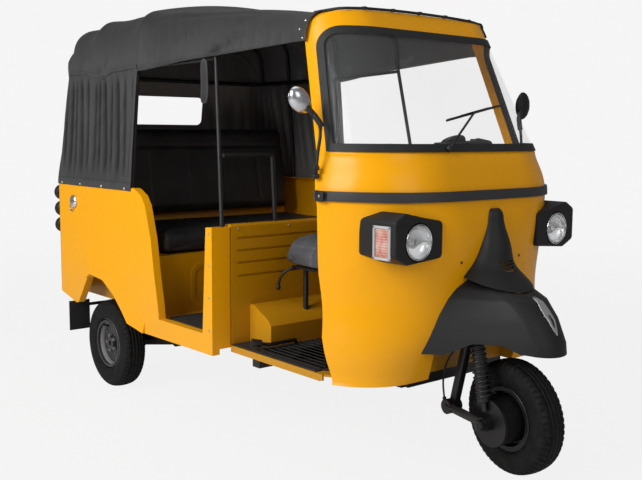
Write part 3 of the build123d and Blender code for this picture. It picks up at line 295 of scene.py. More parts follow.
paint = enamel("yellow_enamel", (0.92, 0.405, 0.003), (0.87, 0.355, 0.003))
# Darker copy of the yellow enamel for the cab's inner panels: painted shade standing in for the shade inside the cab
shaded_inner_paint = enamel("inner_enamel_painted_shade", (0.58, 0.265, 0.003), (0.44, 0.20, 0.004))
black_plastic = moulding("black_moulding", (0.011, 0.011, 0.0115), (0.018, 0.018, 0.019))
trim_plastic = moulding("trim_moulding", (0.036, 0.035, 0.038), (0.050, 0.049, 0.052), 0.45)
rubber = moulding("rubber_seal", (0.014, 0.014, 0.015), (0.028, 0.028, 0.029), 0.55, 500, 0.08)
mat_rubber = moulding("mat_rubber", (0.016, 0.016, 0.016), (0.045, 0.043, 0.040), 0.7, 300, 0.3)
dial_white = moulding("dial_white", (0.55, 0.55, 0.53), (0.62, 0.62, 0.60), 0.4)
satin_black = dark_metal("satin_black", (0.007, 0.007, 0.0075), (0.028, 0.026, 0.024))
rim_black = dark_metal("rim_black", (0.004, 0.004, 0.0045), (0.016, 0.015, 0.014), 0.30)
rim_grey = dark_metal("rim_grey", (0.20, 0.20, 0.20), (0.10, 0.095, 0.088), 0.42)
disc_dark = dark_metal("disc_dark", (0.030, 0.030, 0.031), (0.055, 0.050, 0.045), 0.40)
cast = dark_metal("cast_engine", (0.045, 0.045, 0.046), (0.12, 0.115, 0.10), 0.55, 0.6)
tyre_rubber = tyre_finish("tyre_rubber")
cloth = woven("canopy_cloth", (0.010, 0.010, 0.0105), (0.050, 0.050, 0.051))
cloth_inside = woven("canopy_lining", (0.15, 0.15, 0.153), (0.27, 0.27, 0.273))
seat_hide = hide("seat_vinyl", (0.012, 0.012, 0.013), (0.026, 0.026, 0.028), 0.40)
grey_hide = hide("grey_vinyl", (0.045, 0.046, 0.051), (0.110, 0.112, 0.122), 0.46)
window_glass = pane("window_glass", (0.42, 0.44, 0.44), 0.055)
lens_glass = clear("lens_glass", (0.95, 0.96, 0.96), 0.04, 0.94)
frosted = clear("frosted_frame", (0.86, 0.87, 0.88), 0.18, 0.55)
amber_tail = clear("amber_tail", (0.75, 0.22, 0.02), 0.10, 0.35)
red_lens = clear("red_lens", (0.35, 0.015, 0.012), 0.10, 0.35)
amber_lens = fluted("amber_lens", (0.56, 0.17, 0.11), (0.80, 0.52, 0.45), 0.12, 0.2)
lamp_bowl = bright("lamp_bowl", (0.80, 0.80, 0.81), 0.08)
bright_shell = bright("bright_shell", (0.62, 0.62, 0.64), 0.22)
foil = bright("silver_foil", (0.70, 0.70, 0.70), 0.34)
silver = bright("polished_metal", (0.78, 0.78, 0.80), 0.10)
steel = bright("worn_steel", (0.42, 0.42, 0.43), 0.32)

NODE_FINISH = {
    paint: "front_panel windscreen_frame side_panels back_panel engine_lid",
    # painted shade: the wheel well, floor pans, bulkhead and seat base take the darker copy of the enamel
    shaded_inner_paint: "wheel_well floor_pans bulkhead seat_base",
    black_plastic: "front_fender nose_cone headlamp_housings dashboard",
    trim_plastic: "belt_strip",
    rubber: "windscreen_gasket mudflaps brake_hose",
    satin_black: """chassis_frame seat_stand rear_suspension canopy_hoops canopy_rails canopy_poles fork handlebar
                    front_shock controls mirrors""",
    rim_black: "front_rim link_arm",
    disc_dark: "rear_rim_right rear_rim_left",
    tyre_rubber: "front_tyre rear_tyre_right rear_tyre_left",
    cloth: "canopy_cover",
    seat_hide: "passenger_cushion passenger_backrest",
    grey_hide: "driver_cushion",
    mat_rubber: "floor_mats",
    window_glass: "windscreen_glass",
    lens_glass: "headlamp_lenses",
    amber_lens: "front_indicators",
    red_lens: "tail_lamps",
    silver: "filler_cap",
    cast: "engine",
}
WELD, SMOOTH_BELOW = 0.00002, 28          # metres between points that are one; degrees that still look round


def weld_and_smooth():
    """Node tree that welds a mesh and shades it smooth, keeping its sharper edges."""
    tree, source = geometry_tree("weld_and_smooth")
    mesh = node(tree, "GeometryNodeMergeByDistance", 0, {"Geometry": source[0], "Distance": WELD})
    mesh = node(tree, "GeometryNodeSetShadeSmooth", 0, {"Geometry": mesh, "Shade Smooth": True})
    angle = node(tree, "GeometryNodeInputMeshEdgeAngle", "Unsigned Angle")
    sharp = node(tree, "FunctionNodeCompare", "Result", {0: angle, 1: math.radians(SMOOTH_BELOW)},
                 operation="GREATER_THAN")
    mesh = node(tree, "GeometryNodeSetShadeSmooth", 0, {"Geometry": mesh, "Selection": sharp, "Shade Smooth": False},
                domain="EDGE")
    feed(tree.nodes.new("NodeGroupOutput").inputs[0], mesh)
    return tree


rounding = weld_and_smooth()
for finish, names in NODE_FINISH.items():
    for name in names.split():
        obj = nodes[name]
        obj.data.materials.clear()
        obj.data.materials.append(finish)
        obj.modifiers.new("rounding", "NODES").node_group = rounding

# ------------------------------------------------------------------ making pieces
def add_mesh(name, mesh):
    """Object at the origin holding a mesh that is already in place."""
    obj = bpy.data.objects.new(name, mesh)
    scene.collection.objects.link(obj)
    return obj


def piece(name, mesh, finish, replaces=None, body="body"):
    """A finished piece on its body, standing for the node that it replaces."""
    obj = add_mesh(name, mesh)
    if not mesh.materials:
        mesh.materials.append(finish)
    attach(obj, body)
    if replaces:
        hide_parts(replaces)
    return obj


def applied(obj):
    """Plain mesh of an object with its modifiers; the object goes."""
    bpy.context.view_layer.update()
    mesh = bpy.data.meshes.new_from_object(obj.evaluated_get(bpy.context.evaluated_depsgraph_get()))
    mesh.name = obj.name
    bpy.data.objects.remove(obj)
    return mesh


def shaded(mesh, smooth=True):
    mesh.polygons.foreach_set("use_smooth", [smooth] * len(mesh.polygons))
    return mesh


def mesh_of(bm, name, smooth=True, normals=True):
    """Mesh of a finished bmesh, its faces turned outward unless they already are."""
    if normals:
        bmesh.ops.recalc_face_normals(bm, faces=bm.faces)
    mesh = bpy.data.meshes.new(name)
    bm.to_mesh(mesh)
    bm.free()
    return shaded(mesh, smooth)


def finer(obj, levels):
    """Rounds an object's mesh by subdivision."""
    obj.modifiers.new("finer", "SUBSURF").levels = levels
    obj.modifiers["finer"].render_levels = levels


def thickened(mesh, thickness, levels=0):
    """A sheet's mesh with a thickness, after some levels of subdivision."""
    obj = add_mesh(mesh.name, mesh)
    if levels:
        finer(obj, levels)
    obj.modifiers.new("thickness", "SOLIDIFY").thickness = thickness
    return applied(obj)


def grid_mesh(name, rows, closed=False, looped=False, caps=(), smooth=True):
    """Quads between rows of points. closed joins a row's ends, looped the last row to the first; caps are filled."""
    bm = bmesh.new()
    rows = [[bm.verts.new(p) for p in row] for row in rows]
    for a, b in zip(rows, rows[1:] + (rows[:1] if looped else [])):
        for k in range(len(a) if closed else len(a) - 1):
            n = (k + 1) % len(a)
            bm.faces.new((a[k], a[n], b[n], b[k]))
    for k in caps:
        bm.faces.new(rows[k])
    return mesh_of(bm, name, smooth)


def around(count):
    """Angles of a number of even steps round a circle."""
    return np.linspace(0, 2 * math.pi, count, endpoint=False)


def heading(line, i):
    """Direction of a line of points at one of them."""
    return (line[min(i + 1, len(line) - 1)] - line[max(i - 1, 0)]).normalized()


def rounded_line(points, bend, steps=6):
    """The points with each corner replaced by a curve that starts bend away from it."""
    if not bend:
        return points
    line = [points[0]]
    for a, b, c in zip(points, points[1:], points[2:]):
        start, end = b + (a - b).normalized() * bend, b + (c - b).normalized() * bend
        line += [(start.lerp(b, t)).lerp(b.lerp(end, t), t) for t in np.linspace(0, 1, steps)]
    return line + [points[-1]]


def tube(name, points, radius, sides=12, bend=0.0, flat=1.0):
    """Bar along points, all in metres; corners are rounded when bend is set."""
    line = rounded_line([Vector(p) for p in points], bend)
    side = heading(line, 0).orthogonal()
    rings = []
    for i, p in enumerate(line):
        along = heading(line, i)
        side = (side - along * side.dot(along)).normalized()
        up = along.cross(side)
        rings.append([p + radius * (math.cos(a) * side + flat * math.sin(a) * up) for a in around(sides)])
    return grid_mesh(name, rings, closed=True, caps=(0, -1))


def band(line, across, thick, side):
    """Strip of doubled cloth along a line."""
    rows = []
    for i, p in enumerate(line):
        out = heading(line, i).cross(across).normalized() * thick * side
        rows.append([p, p + across, p + across + out, p + out])
    return grid_mesh("band", rows, closed=True, caps=(0, -1), smooth=False)


def joined(name, meshes, smooth=True):
    """One mesh from several, their materials dropped."""
    bm = bmesh.new()
    for mesh in meshes:
        bm.from_mesh(mesh)
        bpy.data.meshes.remove(mesh)
    return mesh_of(bm, name, smooth, normals=False)


def slab(name, low, high, round_off=0.0, segments=2):
    """Block between two corners with rounded edges, in metres."""
    bm = bmesh.new()
    bmesh.ops.create_cube(bm, size=1)
    for v in bm.verts:
        v.co = Vector(low[k] if v.co[k] < 0 else high[k] for k in range(3))
    if round_off:
        bmesh.ops.bevel(bm, geom=bm.edges[:], offset=round_off, segments=segments, affect="EDGES", profile=0.5)
    return mesh_of(bm, name)


def block(name, a, b, round_off, segments=2):
    """Block between two places, whichever way round they lie."""
    a, b = spot(*a), spot(*b)
    return slab(name, [min(p) for p in zip(a, b)], [max(p) for p in zip(a, b)], round_off, segments)


def turning(name, profile, place=Matrix(), segments=48):
    """Profile of (along the axis, radius) in millimetres, turned about X and placed."""
    bm = bmesh.new()
    rings = [[bm.verts.new((x / 1000, r / 1000 * math.cos(a), r / 1000 * math.sin(a)))
              for a in (around(segments) if r > 0.001 else [0])] for x, r in profile]
    for a, b in zip(rings, rings[1:]):
        for k in range(segments):
            n = (k + 1) % segments
            corners = [a[k % len(a)], a[n % len(a)], b[n % len(b)], b[k % len(b)]]
            corners = [c for i, c in enumerate(corners) if c not in corners[:i]]
            if len(corners) > 2:
                bm.faces.new(corners)
    bmesh.ops.transform(bm, matrix=place, verts=bm.verts)
    return mesh_of(bm, name)


def facing(point, toward=(0, -1, 0)):
    """Matrix at a point with X toward a direction and Z as upright as that lets it be."""
    x = Vector(toward).normalized()
    y = Vector((0, 0, 1)).cross(x).normalized()
    return Matrix.Translation(point) @ Matrix((x, y, x.cross(y))).transposed().to_4x4()


def aimed(point, along):
    """Matrix at a point with X along a direction."""
    return Matrix.Translation(point) @ along.to_track_quat("X", "Z").to_matrix().to_4x4()


def from_table(value, rows, column=1):
    """A column's value between the rows of a table, by its first column."""
    return float(np.interp(value, [r[0] for r in rows], [r[column] for r in rows]))


surfaces = {}


def surface_of(name):
    """Ray-castable tree of a CAD node's mesh."""
    if name not in surfaces:
        mesh = nodes[name].data
        surfaces[name] = BVHTree.FromPolygons([v.co.copy() for v in mesh.vertices],
                                              [tuple(p.vertices) for p in mesh.polygons])
    return surfaces[name]


def hit_from(name, start, toward):
    """Where a ray from a point meets a CAD node."""
    return surface_of(name).ray_cast(start, Vector(toward))[0]


def on_front(name, x, z, lift=0.0):
    """Point of a node's front at x and z, lifted off it, and the surface's normal there."""
    hit, normal, _, _ = surface_of(name).ray_cast(spot(x, -600, z), Vector((0, 1, 0)))
    if normal.y > 0:
        normal = -normal
    return hit + normal * lift / 1000, normal


# ------------------------------------------------------------------ canopy
# Cross sections as the frame has them: station, eave half width and height, lean
# of the side, crown height, radius of the crown and of the corner.
CANOPY_ROWS = [
    (600, 481, 1537, 0.02, 1663.3, 7080, 98), (664, 481, 1537, 0.02, 1663.3, 7080, 98),
    (1134, 530, 1512, 0.10, 1730, 2700, 100), (1640, 594, 1490, 0.10, 1800, 2120, 118),
    (2050, 594, 1490, 0.10, 1788, 2150, 120), (2300, 590, 1490, 0.11, 1762, 2200, 120),
    (2375, 586.5, 1490, 0.13, 1722, 2300, 118),
]
HOOPS = [600, 1134, 1640, 2050, 2300, 2375]
CANOPY_END = 2375
CURTAIN_FRONT, CURTAIN_FOOT, EAVE = 1634, 948, 1490
WALL_FOOT, FOOT_HALF, FOOT_BACK, EAVE_HALF = 966, 637.6, 2430.6, 594
SKIN_IN = 1.5                 # the sheet's outer face lies this far inside the frame's skin
CORNER = 56                   # rounding of the rear corners
ROOF_HUB = 1180               # height on the middle line that the roof's cloth sinks toward
ROOF_SPANS = [(600, 664, 4), (664, 1134, 20), (1134, 1634, 22), (1634, 1700, 6), (1700, 2050, 26), (2050, 2300, 20),
              (2300, CANOPY_END, 8)]                                # from, to, rows
HEIGHTS = list(np.linspace(CURTAIN_FOOT, EAVE, 34)[:-1])            # rows of the curtains
PULLS = [(-0.20, 0.020), (-0.06, 0.016), (0.07, 0.022), (0.22, 0.018), (0.40, 0.024)]   # direction, spread
CURTAIN_FOLDS = [             # run from the front edge at the foot, slant toward the head, width, depth
    (28, 14, 15, 7), (74, 40, 13, 8), (128, 58, 19, 9), (196, 44, 12, 7), (247, 66, 20, 10), (318, 40, 13, 8),
    (372, 24, 17, 8), (433, 50, 14, 9), (498, 62, 21, 10), (571, 36, 13, 8), (628, 20, 17, 8), (694, 12, 14, 6),
    (770, 30, 20, 7), (860, 0, 26, 8), (950, -24, 20, 6), (1040, 10, 26, 8), (1130, 26, 18, 6),
]
SEAM = [(1634, 1484), (1860, 1474), (1905, 1462), (1957, 1447), (2145, 1478), (2375, 1482)]     # station, height


def roof_section(st, line_n=5, corner_n=9, crown_n=34):
    """Points (x, z) from the right eave over the crown to the left eave."""
    eave, eave_z, lean, top, crown_r, corner_r = (from_table(st, CANOPY_ROWS, k) for k in range(1, 7))
    slope = math.sqrt(1 + lean * lean)
    hub_z = top - crown_r
    px, ux, uz = eave - corner_r * slope, -lean / slope, 1 / slope
    along = px * ux + (eave_z - hub_z) * uz
    rise = -along + math.sqrt(along ** 2 - px ** 2 - (eave_z - hub_z) ** 2 + (crown_r - corner_r) ** 2)
    cx, cz = px + rise * ux, eave_z + rise * uz
    start = Vector((cx + corner_r / slope, cz + corner_r * lean / slope))
    a0, a1 = math.atan2(start.y - cz, start.x - cx), math.atan2(cz - hub_z, cx)
    points = [Vector((eave, eave_z)).lerp(start, i / line_n) for i in range(line_n)]
    for x, z, r, turns in ((cx, cz, corner_r, np.linspace(a0, a1, corner_n + 1)[:-1]),
                           (0, hub_z, crown_r, np.linspace(a1, math.pi / 2, crown_n // 2 + 1))):
        points += [Vector((x + r * math.cos(a), z + r * math.sin(a))) for a in turns]
    return [(-p.x, p.y) for p in points] + [(p.x, p.y) for p in reversed(points[:-1])]


def sag(st):
    """0 on a hoop, 1 midway between two."""
    for a, b in zip(HOOPS, HOOPS[1:]):
        if a <= st <= b:
            return math.sin(math.pi * (st - a) / (b - a)) ** 1.4
    return 0.0


def roof_depth(st, side):
    """How far a roof point hangs inside the skin: side is its distance over the cloth from the eave."""
    inner = ease(side, 15, 190)
    deep = 6.0 if st < 1640 else (9.0 if st < 2050 else 18.0)
    depth = SKIN_IN + sag(st) * deep * (0.35 + 0.65 * inner) * ease(side, 0, 60)
    for hoop, drop in ((1640, 9.0), (2050, 5.5)):                   # the cloth drops away beside each hoop
        off = abs(st - hoop)
        depth += drop * (1 - fold(off, 0, 34)) * (1 - ease(off, 60, 230)) * ease(side, 14, 70)
    reach = math.hypot(st - 560, side - 150)                        # folds that fan out from the header
    angle = math.atan2(side - 150, st - 560)
    pull = ease(st, 640, 760) * (1 - ease(st, 1380, 1630)) * ease(side, 6, 40)
    depth += 9.0 * pull * sum(fold(angle, a, w) for a, w in PULLS) * min(1, reach / 420)
    depth += 4.5 * pull * fold(math.sin(side / 47 + 0.4 * math.sin(st / 210)), 1, 0.35) * ease(side, 260, 420)
    rear = ease(st, 1655, 1760)
    depth += rear * 7.0 * fold((side - 250) / 90 - (st - 1900) / 190, 0.4, 0.55) * ease(side, 20, 90)
    depth += rear * 5.5 * fold((side - 120) / 70 + (st - 1780) / 120, 0.3, 0.5)
    return depth + 26 * ease(st, 2240, CANOPY_END) ** 2 * ease(side, 20, 150)       # rolls over the last hoop


def roof_row(st):
    """Places over the roof at a station, from the right eave to the left one."""
    section = roof_section(st)
    lengths = np.cumsum([0.0] + [math.dist(a, b) for a, b in zip(section, section[1:])])
    row = []
    for (x, z), run in zip(section, lengths):
        side = min(run, lengths[-1] - run)
        depth = roof_depth(st, side)
        away = math.hypot(x, z - ROOF_HUB)
        droop = 17 * ease(st, 1230, 1634) * (1 - ease(st, 1634, 1690)) * (1 - ease(side, 0, 70))
        row.append((x - x / away * depth, st, z - (z - ROOF_HUB) / away * depth - droop))
    return row


def curtain_depth(run, z, phase):
    """Folds in the curtain's middle, flat along its hem and under the valance."""
    rise = (z - CURTAIN_FOOT) / (EAVE - CURTAIN_FOOT)
    free = ease(rise, 0.075, 0.34) * (1 - 0.72 * ease(rise, 0.78, 1.0))
    wave = sum(d * fold(run, s + phase + slant * rise, w * (1.25 - 0.4 * rise)) for s, slant, w, d in CURTAIN_FOLDS)
    edge = ease(run, 4, 30) * (1 - 0.85 * fold(run, 416, 26))       # held off the upright behind it
    lip = 1 - ease(z - from_table(CURTAIN_FRONT + run, SEAM), -9, 3)
    return SKIN_IN + 0.2 + 3.4 * lip + free * (edge * wave * 1.45 - 1.5)


def rounded_corner(x, st, half, back):
    """Slides a point of the sharp-cornered wall onto the rounded rear corner."""
    gap_side, gap_back = half - abs(x), back - st
    if gap_side > CORNER or gap_back > CORNER:
        return x, st
    a = math.pi / 4 * (1 - gap_back / CORNER if gap_side < 1e-6 else 1 + gap_side / CORNER)
    return math.copysign(half - CORNER + CORNER * math.cos(a), x), back - CORNER + CORNER * math.sin(a)


def wall_share(z):
    """0 at the foot of the curtains, 1 at the eaves."""
    return max(0.0, (z - WALL_FOOT) / (EAVE - WALL_FOOT))


def wall_size(z):
    """Half width and rear station of the curtains at a height."""
    t = wall_share(z)
    return FOOT_HALF + (EAVE_HALF - FOOT_HALF) * t, FOOT_BACK + (CANOPY_END - FOOT_BACK) * t


def side_point(side, share, z):
    """Place on a side curtain: share 0 at its front edge, 1 on the rear corner."""
    half, back = wall_size(z)
    st = CURTAIN_FRONT + (back - CURTAIN_FRONT) * share
    eave = from_table(CURTAIN_FRONT + (CANOPY_END - CURTAIN_FRONT) * share, CANOPY_ROWS)
    half -= (EAVE_HALF - eave) * wall_share(z)
    x, round_st = rounded_corner(half, st, half, back)
    depth = curtain_depth(st - CURTAIN_FRONT, z, 0 if side < 0 else 17)
    turn = ease(share, 0.93, 1.0) * math.pi / 4
    return side * (x - depth * math.cos(turn)), round_st - depth * math.sin(turn), z


def with_curtains(row, st, blend=4):
    """A row of the roof with a side curtain under each eave, the roof's sides running into them."""
    share = (st - CURTAIN_FRONT) / (CANOPY_END - CURTAIN_FRONT)
    for k in range(blend):
        w = 1 - k / blend
        for i, side in ((k, -1), (len(row) - 1 - k, 1)):
            x, s, z = row[i]
            cx, cs, _ = side_point(side, share, EAVE)
            row[i] = (x + w * (cx - side * from_table(st, CANOPY_ROWS) + side * SKIN_IN), s + w * (cs - s), z)
    right, left = ([side_point(side, share, z) for z in HEIGHTS] for side in (-1, 1))
    return right + row + left[::-1]


def rear_curtain(bm, edge):
    """Closes the back: level rows between the side curtains, then rows that rise to the roof's last hoop."""
    top = edge[len(HEIGHTS):-len(HEIGHTS)]
    start, end = top[0].co.x, top[-1].co.x
    grid = []
    for j, z in enumerate(HEIGHTS):
        a, b = edge[j], edge[-1 - j]
        half, back = wall_size(z)
        line = [a]
        for v in top[1:-1]:
            x = (a.co.x + (b.co.x - a.co.x) * (v.co.x - start) / (end - start)) * 1000
            _, st = rounded_corner(x, back - 0.001, half, back)
            gap = half - abs(x)
            depth = 0.7 * curtain_depth(800 + gap, z, 5 if x < 0 else 23) * ease(gap, 30, 120)
            hollow = 3.6 * ease(z, 1280, EAVE) * ease(gap, 60, 300)
            line.append(bm.verts.new(spot(x, st - max(depth, SKIN_IN) - hollow, z)))
        grid.append(line + [b])
    below, steps = grid[-1], 7
    for k in range(1, steps):
        line = [top[0]]
        for i in range(1, len(top) - 1):
            p = below[i].co.lerp(top[i].co, k / steps)
            p.y += math.sin(math.pi * k / steps) * 0.012 * ease(min(i, len(top) - 1 - i), 0, 8)
            line.append(bm.verts.new(p))
        grid.append(line + [top[-1]])
    grid.append(top)
    for lower, upper in zip(grid, grid[1:]):
        for i in range(len(top) - 1):
            corners = [lower[i], lower[i + 1], upper[i + 1], upper[i]]
            corners = [c for q, c in enumerate(corners) if c not in corners[:q]]
            if len(corners) > 2:
                bm.faces.new(corners)


def canopy_sheet():
    """One sheet: roof, side curtains and rear curtain, drawn over the hoops."""
    bm = bmesh.new()
    stations = [600.0] + [float(v) for a, b, n in ROOF_SPANS for v in np.linspace(a, b, n + 1)[1:]]
    rows = [with_curtains(roof_row(st), st) if st >= CURTAIN_FRONT else roof_row(st) for st in stations]
    rows = [[bm.verts.new(spot(*p)) for p in row] for row in rows]
    for a, b in zip(rows, rows[1:]):
        lead = (len(b) - len(a)) // 2                               # the first curtain row is longer at both ends
        b = b[lead:len(b) - lead]
        for i in range(len(a) - 1):
            bm.faces.new((a[i], a[i + 1], b[i + 1], b[i]))
    rear_curtain(bm, rows[-1])
    return bm


def store_fold_shade(mesh, passes=60, reach=0.006):
    """Stores how proud of the cloth round it each point stands: 0 in a fold's bottom, 1 on its ridge. The cloth finish
    turns it into painted shade in the fold bottoms and a painted highlight on the ridges.
    """
    count = len(mesh.vertices)
    co, out = np.empty(count * 3), np.empty(count * 3)
    mesh.vertices.foreach_get("co", co)
    mesh.vertices.foreach_get("normal", out)
    co, out = co.reshape(-1, 3), out.reshape(-1, 3)
    ends = np.empty(len(mesh.edges) * 2, dtype=np.int32)
    mesh.edges.foreach_get("vertices", ends)
    a, b = ends.reshape(-1, 2).T
    links = np.maximum(np.bincount(a, minlength=count) + np.bincount(b, minlength=count), 1)[:, None]
    even = co.copy()
    for _ in range(passes):
        even = np.stack([np.bincount(a, even[b, k], count) + np.bincount(b, even[a, k], count) for k in range(3)],
                        axis=1) / links
    proud = ((co - even) * out).sum(axis=1)
    mesh.attributes.new("fold_shade", "FLOAT", "POINT").data.foreach_set("value", np.clip(0.5 + proud / reach, 0, 1))
    return mesh


def canopy():
    """The cloth with its thickness, lining and rear window, and its hem."""
    bm = canopy_sheet()
    bmesh.ops.remove_doubles(bm, verts=bm.verts, dist=0.00005)
    bmesh.ops.recalc_face_normals(bm, faces=bm.faces)
    if max(bm.faces, key=lambda f: f.calc_center_median().z).normal.z < 0:
        bmesh.ops.reverse_faces(bm, faces=bm.faces)
    area = sum(f.calc_area() for f in bm.faces)
    sheet = add_mesh("canopy_cloth", mesh_of(bm, "canopy_cloth", normals=False))
    for finish in (cloth, cloth_inside):
        sheet.data.materials.append(finish)
    wall = sheet.modifiers.new("thickness", "SOLIDIFY")
    wall.thickness = 0.0026
    wall.offset = -1
    wall.material_offset = 1
    cutter = add_mesh("window_cutter", slab("window_cutter", spot(-220, 2300, 1250), spot(220, 2500, 1400), 0.03, 6))
    cut = sheet.modifiers.new("window", "BOOLEAN")
    cut.operation = "DIFFERENCE"
    cut.object = cutter
    mesh = shaded(applied(sheet))
    bpy.data.objects.remove(cutter)
    sheet = piece("canopy_cloth", store_fold_shade(mesh), cloth, "canopy_cover")
    canopy_hem()


def canopy_hem():
    """Doubled band along the foot of the curtains, up their front edges and along the valance."""
    meshes = []
    for side in (-1, 1):
        foot = [side_point(side, t, CURTAIN_FOOT + 1) for t in np.linspace(0, 1, 60)]
        meshes.append(band([spot(x + side * 1.2, s, z) for x, s, z in foot], Vector((0, 0, 0.034)), 0.0016, side))
        front = [side_point(side, 0, z) for z in np.linspace(CURTAIN_FOOT, EAVE, 30)]
        meshes.append(band([spot(x + side, s - 1, z) for x, s, z in front], Vector((0, 0.022, 0)), 0.0016, -side))
        lip = [side_point(side, t, from_table(CURTAIN_FRONT + (CANOPY_END - CURTAIN_FRONT) * t, SEAM) + 3)
               for t in np.linspace(0.0, 0.93, 70)]
        meshes.append(band([spot(x + side * 0.4, s, z) for x, s, z in lip], Vector((0, 0, 0.013)), 0.0020, side))
    return piece("canopy_hem", store_fold_shade(joined("canopy_hem", meshes)), cloth)


canopy()


# ------------------------------------------------------------------ cushions
def pad_block(name, low, high, shape, edge, inset=0.008, voxel=0.0075):
    """Remeshed block between two corners in station space, bent into place by shape(x, st, z)."""
    inset = Vector((inset,) * 3)
    obj = add_mesh(name, slab(name, Vector(low) / 1000 + inset, Vector(high) / 1000 - inset, edge, 4))
    remesh = obj.modifiers.new("remesh", "REMESH")
    remesh.mode = "VOXEL"
    remesh.voxel_size = voxel
    plain = applied(obj)
    for v in plain.vertices:
        v.co = spot(*shape(*(v.co * 1000)))
    return add_mesh(name, plain)


def inflate(obj, pressure, cap, pinned_below, frames=20, stiffness=20):
    """Blows a pad up against its cover; points under a height stay, the rest move at most cap."""
    rest = [v.co.copy() for v in obj.data.vertices]
    group = obj.vertex_groups.new(name="sewn")
    group.add([i for i, co in enumerate(rest) if co.z < pinned_below], 1.0, "REPLACE")
    blown = obj.modifiers.new("cloth", "CLOTH")
    settings = blown.settings
    settings.quality = 5
    settings.mass = 0.3
    settings.tension_stiffness = settings.compression_stiffness = stiffness
    settings.use_pressure = True
    settings.uniform_pressure_force = pressure
    settings.effector_weights.gravity = 0
    settings.vertex_group_mass = "sewn"
    blown.point_cache.frame_start = 1
    blown.point_cache.frame_end = frames
    for frame_no in range(1, frames + 1):
        scene.frame_set(frame_no)
    moved = [v.co.copy() for v in obj.evaluated_get(bpy.context.evaluated_depsgraph_get()).data.vertices]
    obj.modifiers.remove(blown)
    scene.frame_set(1)
    for v, start, end in zip(obj.data.vertices, rest, moved):
        step = end - start
        v.co = start + step * min(1.0, cap / max(step.length, 1e-9))


def sewn_pad(obj, name, finish, node_name, channels):
    for v in obj.data.vertices:
        v.co += channels(*place_of(v.co))
    smooth = obj.modifiers.new("smooth", "SMOOTH")
    smooth.iterations = 3
    smooth.factor = 0.5
    finer(obj, 1)
    piece(name, shaded(applied(obj)), finish, node_name)


def groove(distance, width, depth):
    """Channel of a depth in metres, its distance and width in millimetres."""
    return -depth * fold(distance, 0, width)


def driver_pad():
    """Low rounded saddle: dished where it is sat on, with a welded seam round its top."""
    half, middle = 312, 763

    def shape(x, st, z):
        t = (z - 672) / 124
        crown = 9 * t * (1 - (x / half) ** 2) - 6 * t * (x / half) ** 4
        return x * (1.10 - 0.17 * t ** 1.4), st + 10 * t * (1 if st < 760 else -0.4), z + crown

    def channels(x, st, z):
        top = ease(z, 745, 775)
        dish = -0.012 * top * fold(x, 0, 150) * fold(st, 740, 120)
        puckers = 0.0016 * math.sin(x / 17) * math.sin(st / 21) * top
        side = Vector((x / half, (st - middle) / 157, 0))
        away = side.normalized() if side.length > 0.6 else Vector()
        return Vector((0, 0, dish + puckers)) + away * groove(z - 752, 4, 0.0035)

    obj = pad_block("driver_pad", (-318, 606, 675), (318, 940, 790), shape, edge=0.034, voxel=0.0055)
    inflate(obj, 3.5, 0.016, 0.684)
    sewn_pad(obj, "driver_cushion_pad", grey_hide, "driver_cushion", channels)


def bench_pad():
    """Passenger bench: one long pad with cross channels and a rolled front edge."""
    def channels(x, st, z):
        lines = sum(groove(st - c, 5, 0.005) for c in (1600, 1760, 1905))
        ends = sum(groove(x - c, 5, 0.005) for c in (-185, 185))
        sat = -0.006 * sum(fold(x, c, 130) for c in (-365, 0, 365)) * fold(st, 1740, 150)
        seam = groove(z - 742, 4, 0.003) if st < 1530 else 0
        return Vector((0, -seam, ease(z, 740, 768) * (lines + ends + sat)))

    obj = pad_block("bench_pad", (-548, 1500, 670), (548, 2014, 774), lambda x, st, z: (x, st + 0.06 * (z - 670), z),
                    edge=0.032)
    inflate(obj, 3.0, 0.014, 0.682)
    sewn_pad(obj, "bench_pad_cover", seat_hide, "passenger_cushion", channels)


def backrest_pad():
    """Passenger backrest: a leaning pad with a head roll along its top and upright channels."""
    foot, tall, lean = 784, 459, 86

    def shape(x, st, z):
        t = (z - foot) / tall
        return x, st + lean * t, z + 12 * (1 - (st - 1960) / 96) * t

    def channels(x, st, z):
        face = 1 - ease(st - lean * (z - foot) / tall, 1985, 2005)
        uprights = sum(groove(x - c, 5, 0.006) for c in (-330, -110, 110, 330)) * (1 - ease(z, 1120, 1140))
        sat = -0.006 * (fold(x, -330, 120) + fold(x, 330, 120)) * fold(z, 950, 110)
        return Vector((0, -face * (uprights + groove(z - 1140, 6, 0.010) + sat) - 0.004 * (1 - face), 0))

    obj = pad_block("backrest_pad", (-544, 1966, 790), (544, 2052, 1238), shape, edge=0.030)
    inflate(obj, 2.5, 0.010, 0)
    sewn_pad(obj, "backrest_pad_cover", seat_hide, "passenger_backrest", channels)


driver_pad()
bench_pad()
backrest_pad()

# ------------------------------------------------------------------ wheels
NOTCHES, NOTCH_STEPS, NOTCH_DEEP = 54, 6, 0.0060
TYRE_PROFILE = [              # across the tyre and out from its middle, in millimetres, one half
    (0, 207.5), (6.5, 207.3), (7.5, 202.5), (10.5, 202.4), (11.5, 207.0), (21, 206.0), (22, 201.5), (25, 201.2),
    (26, 205.4), (35, 203.4), (38, 202.0), (42, 199.6), (45.5, 196.0), (48.5, 190.5), (50.6, 184), (52, 176),
    (53, 166), (53.4, 157), (53, 147), (51.8, 138), (49.4, 129), (48.2, 126.5), (47, 125.6), (45, 121.8), (43.4, 118.5),
    (40, 118), (40, 108),
]
RIM = [(-47, 112), (-47, 117.4), (-44.5, 118.6), (-42, 117.4), (-40.4, 112), (-38, 106), (-22, 104.5), (-14, 98),
       (14, 98), (22, 104.5), (38, 106), (40.4, 112), (42, 117.4), (44.5, 118.6), (47, 117.4), (47, 112),
       (41, 103), (16, 94.5), (-16, 94.5), (-41, 103), (-47, 112)]
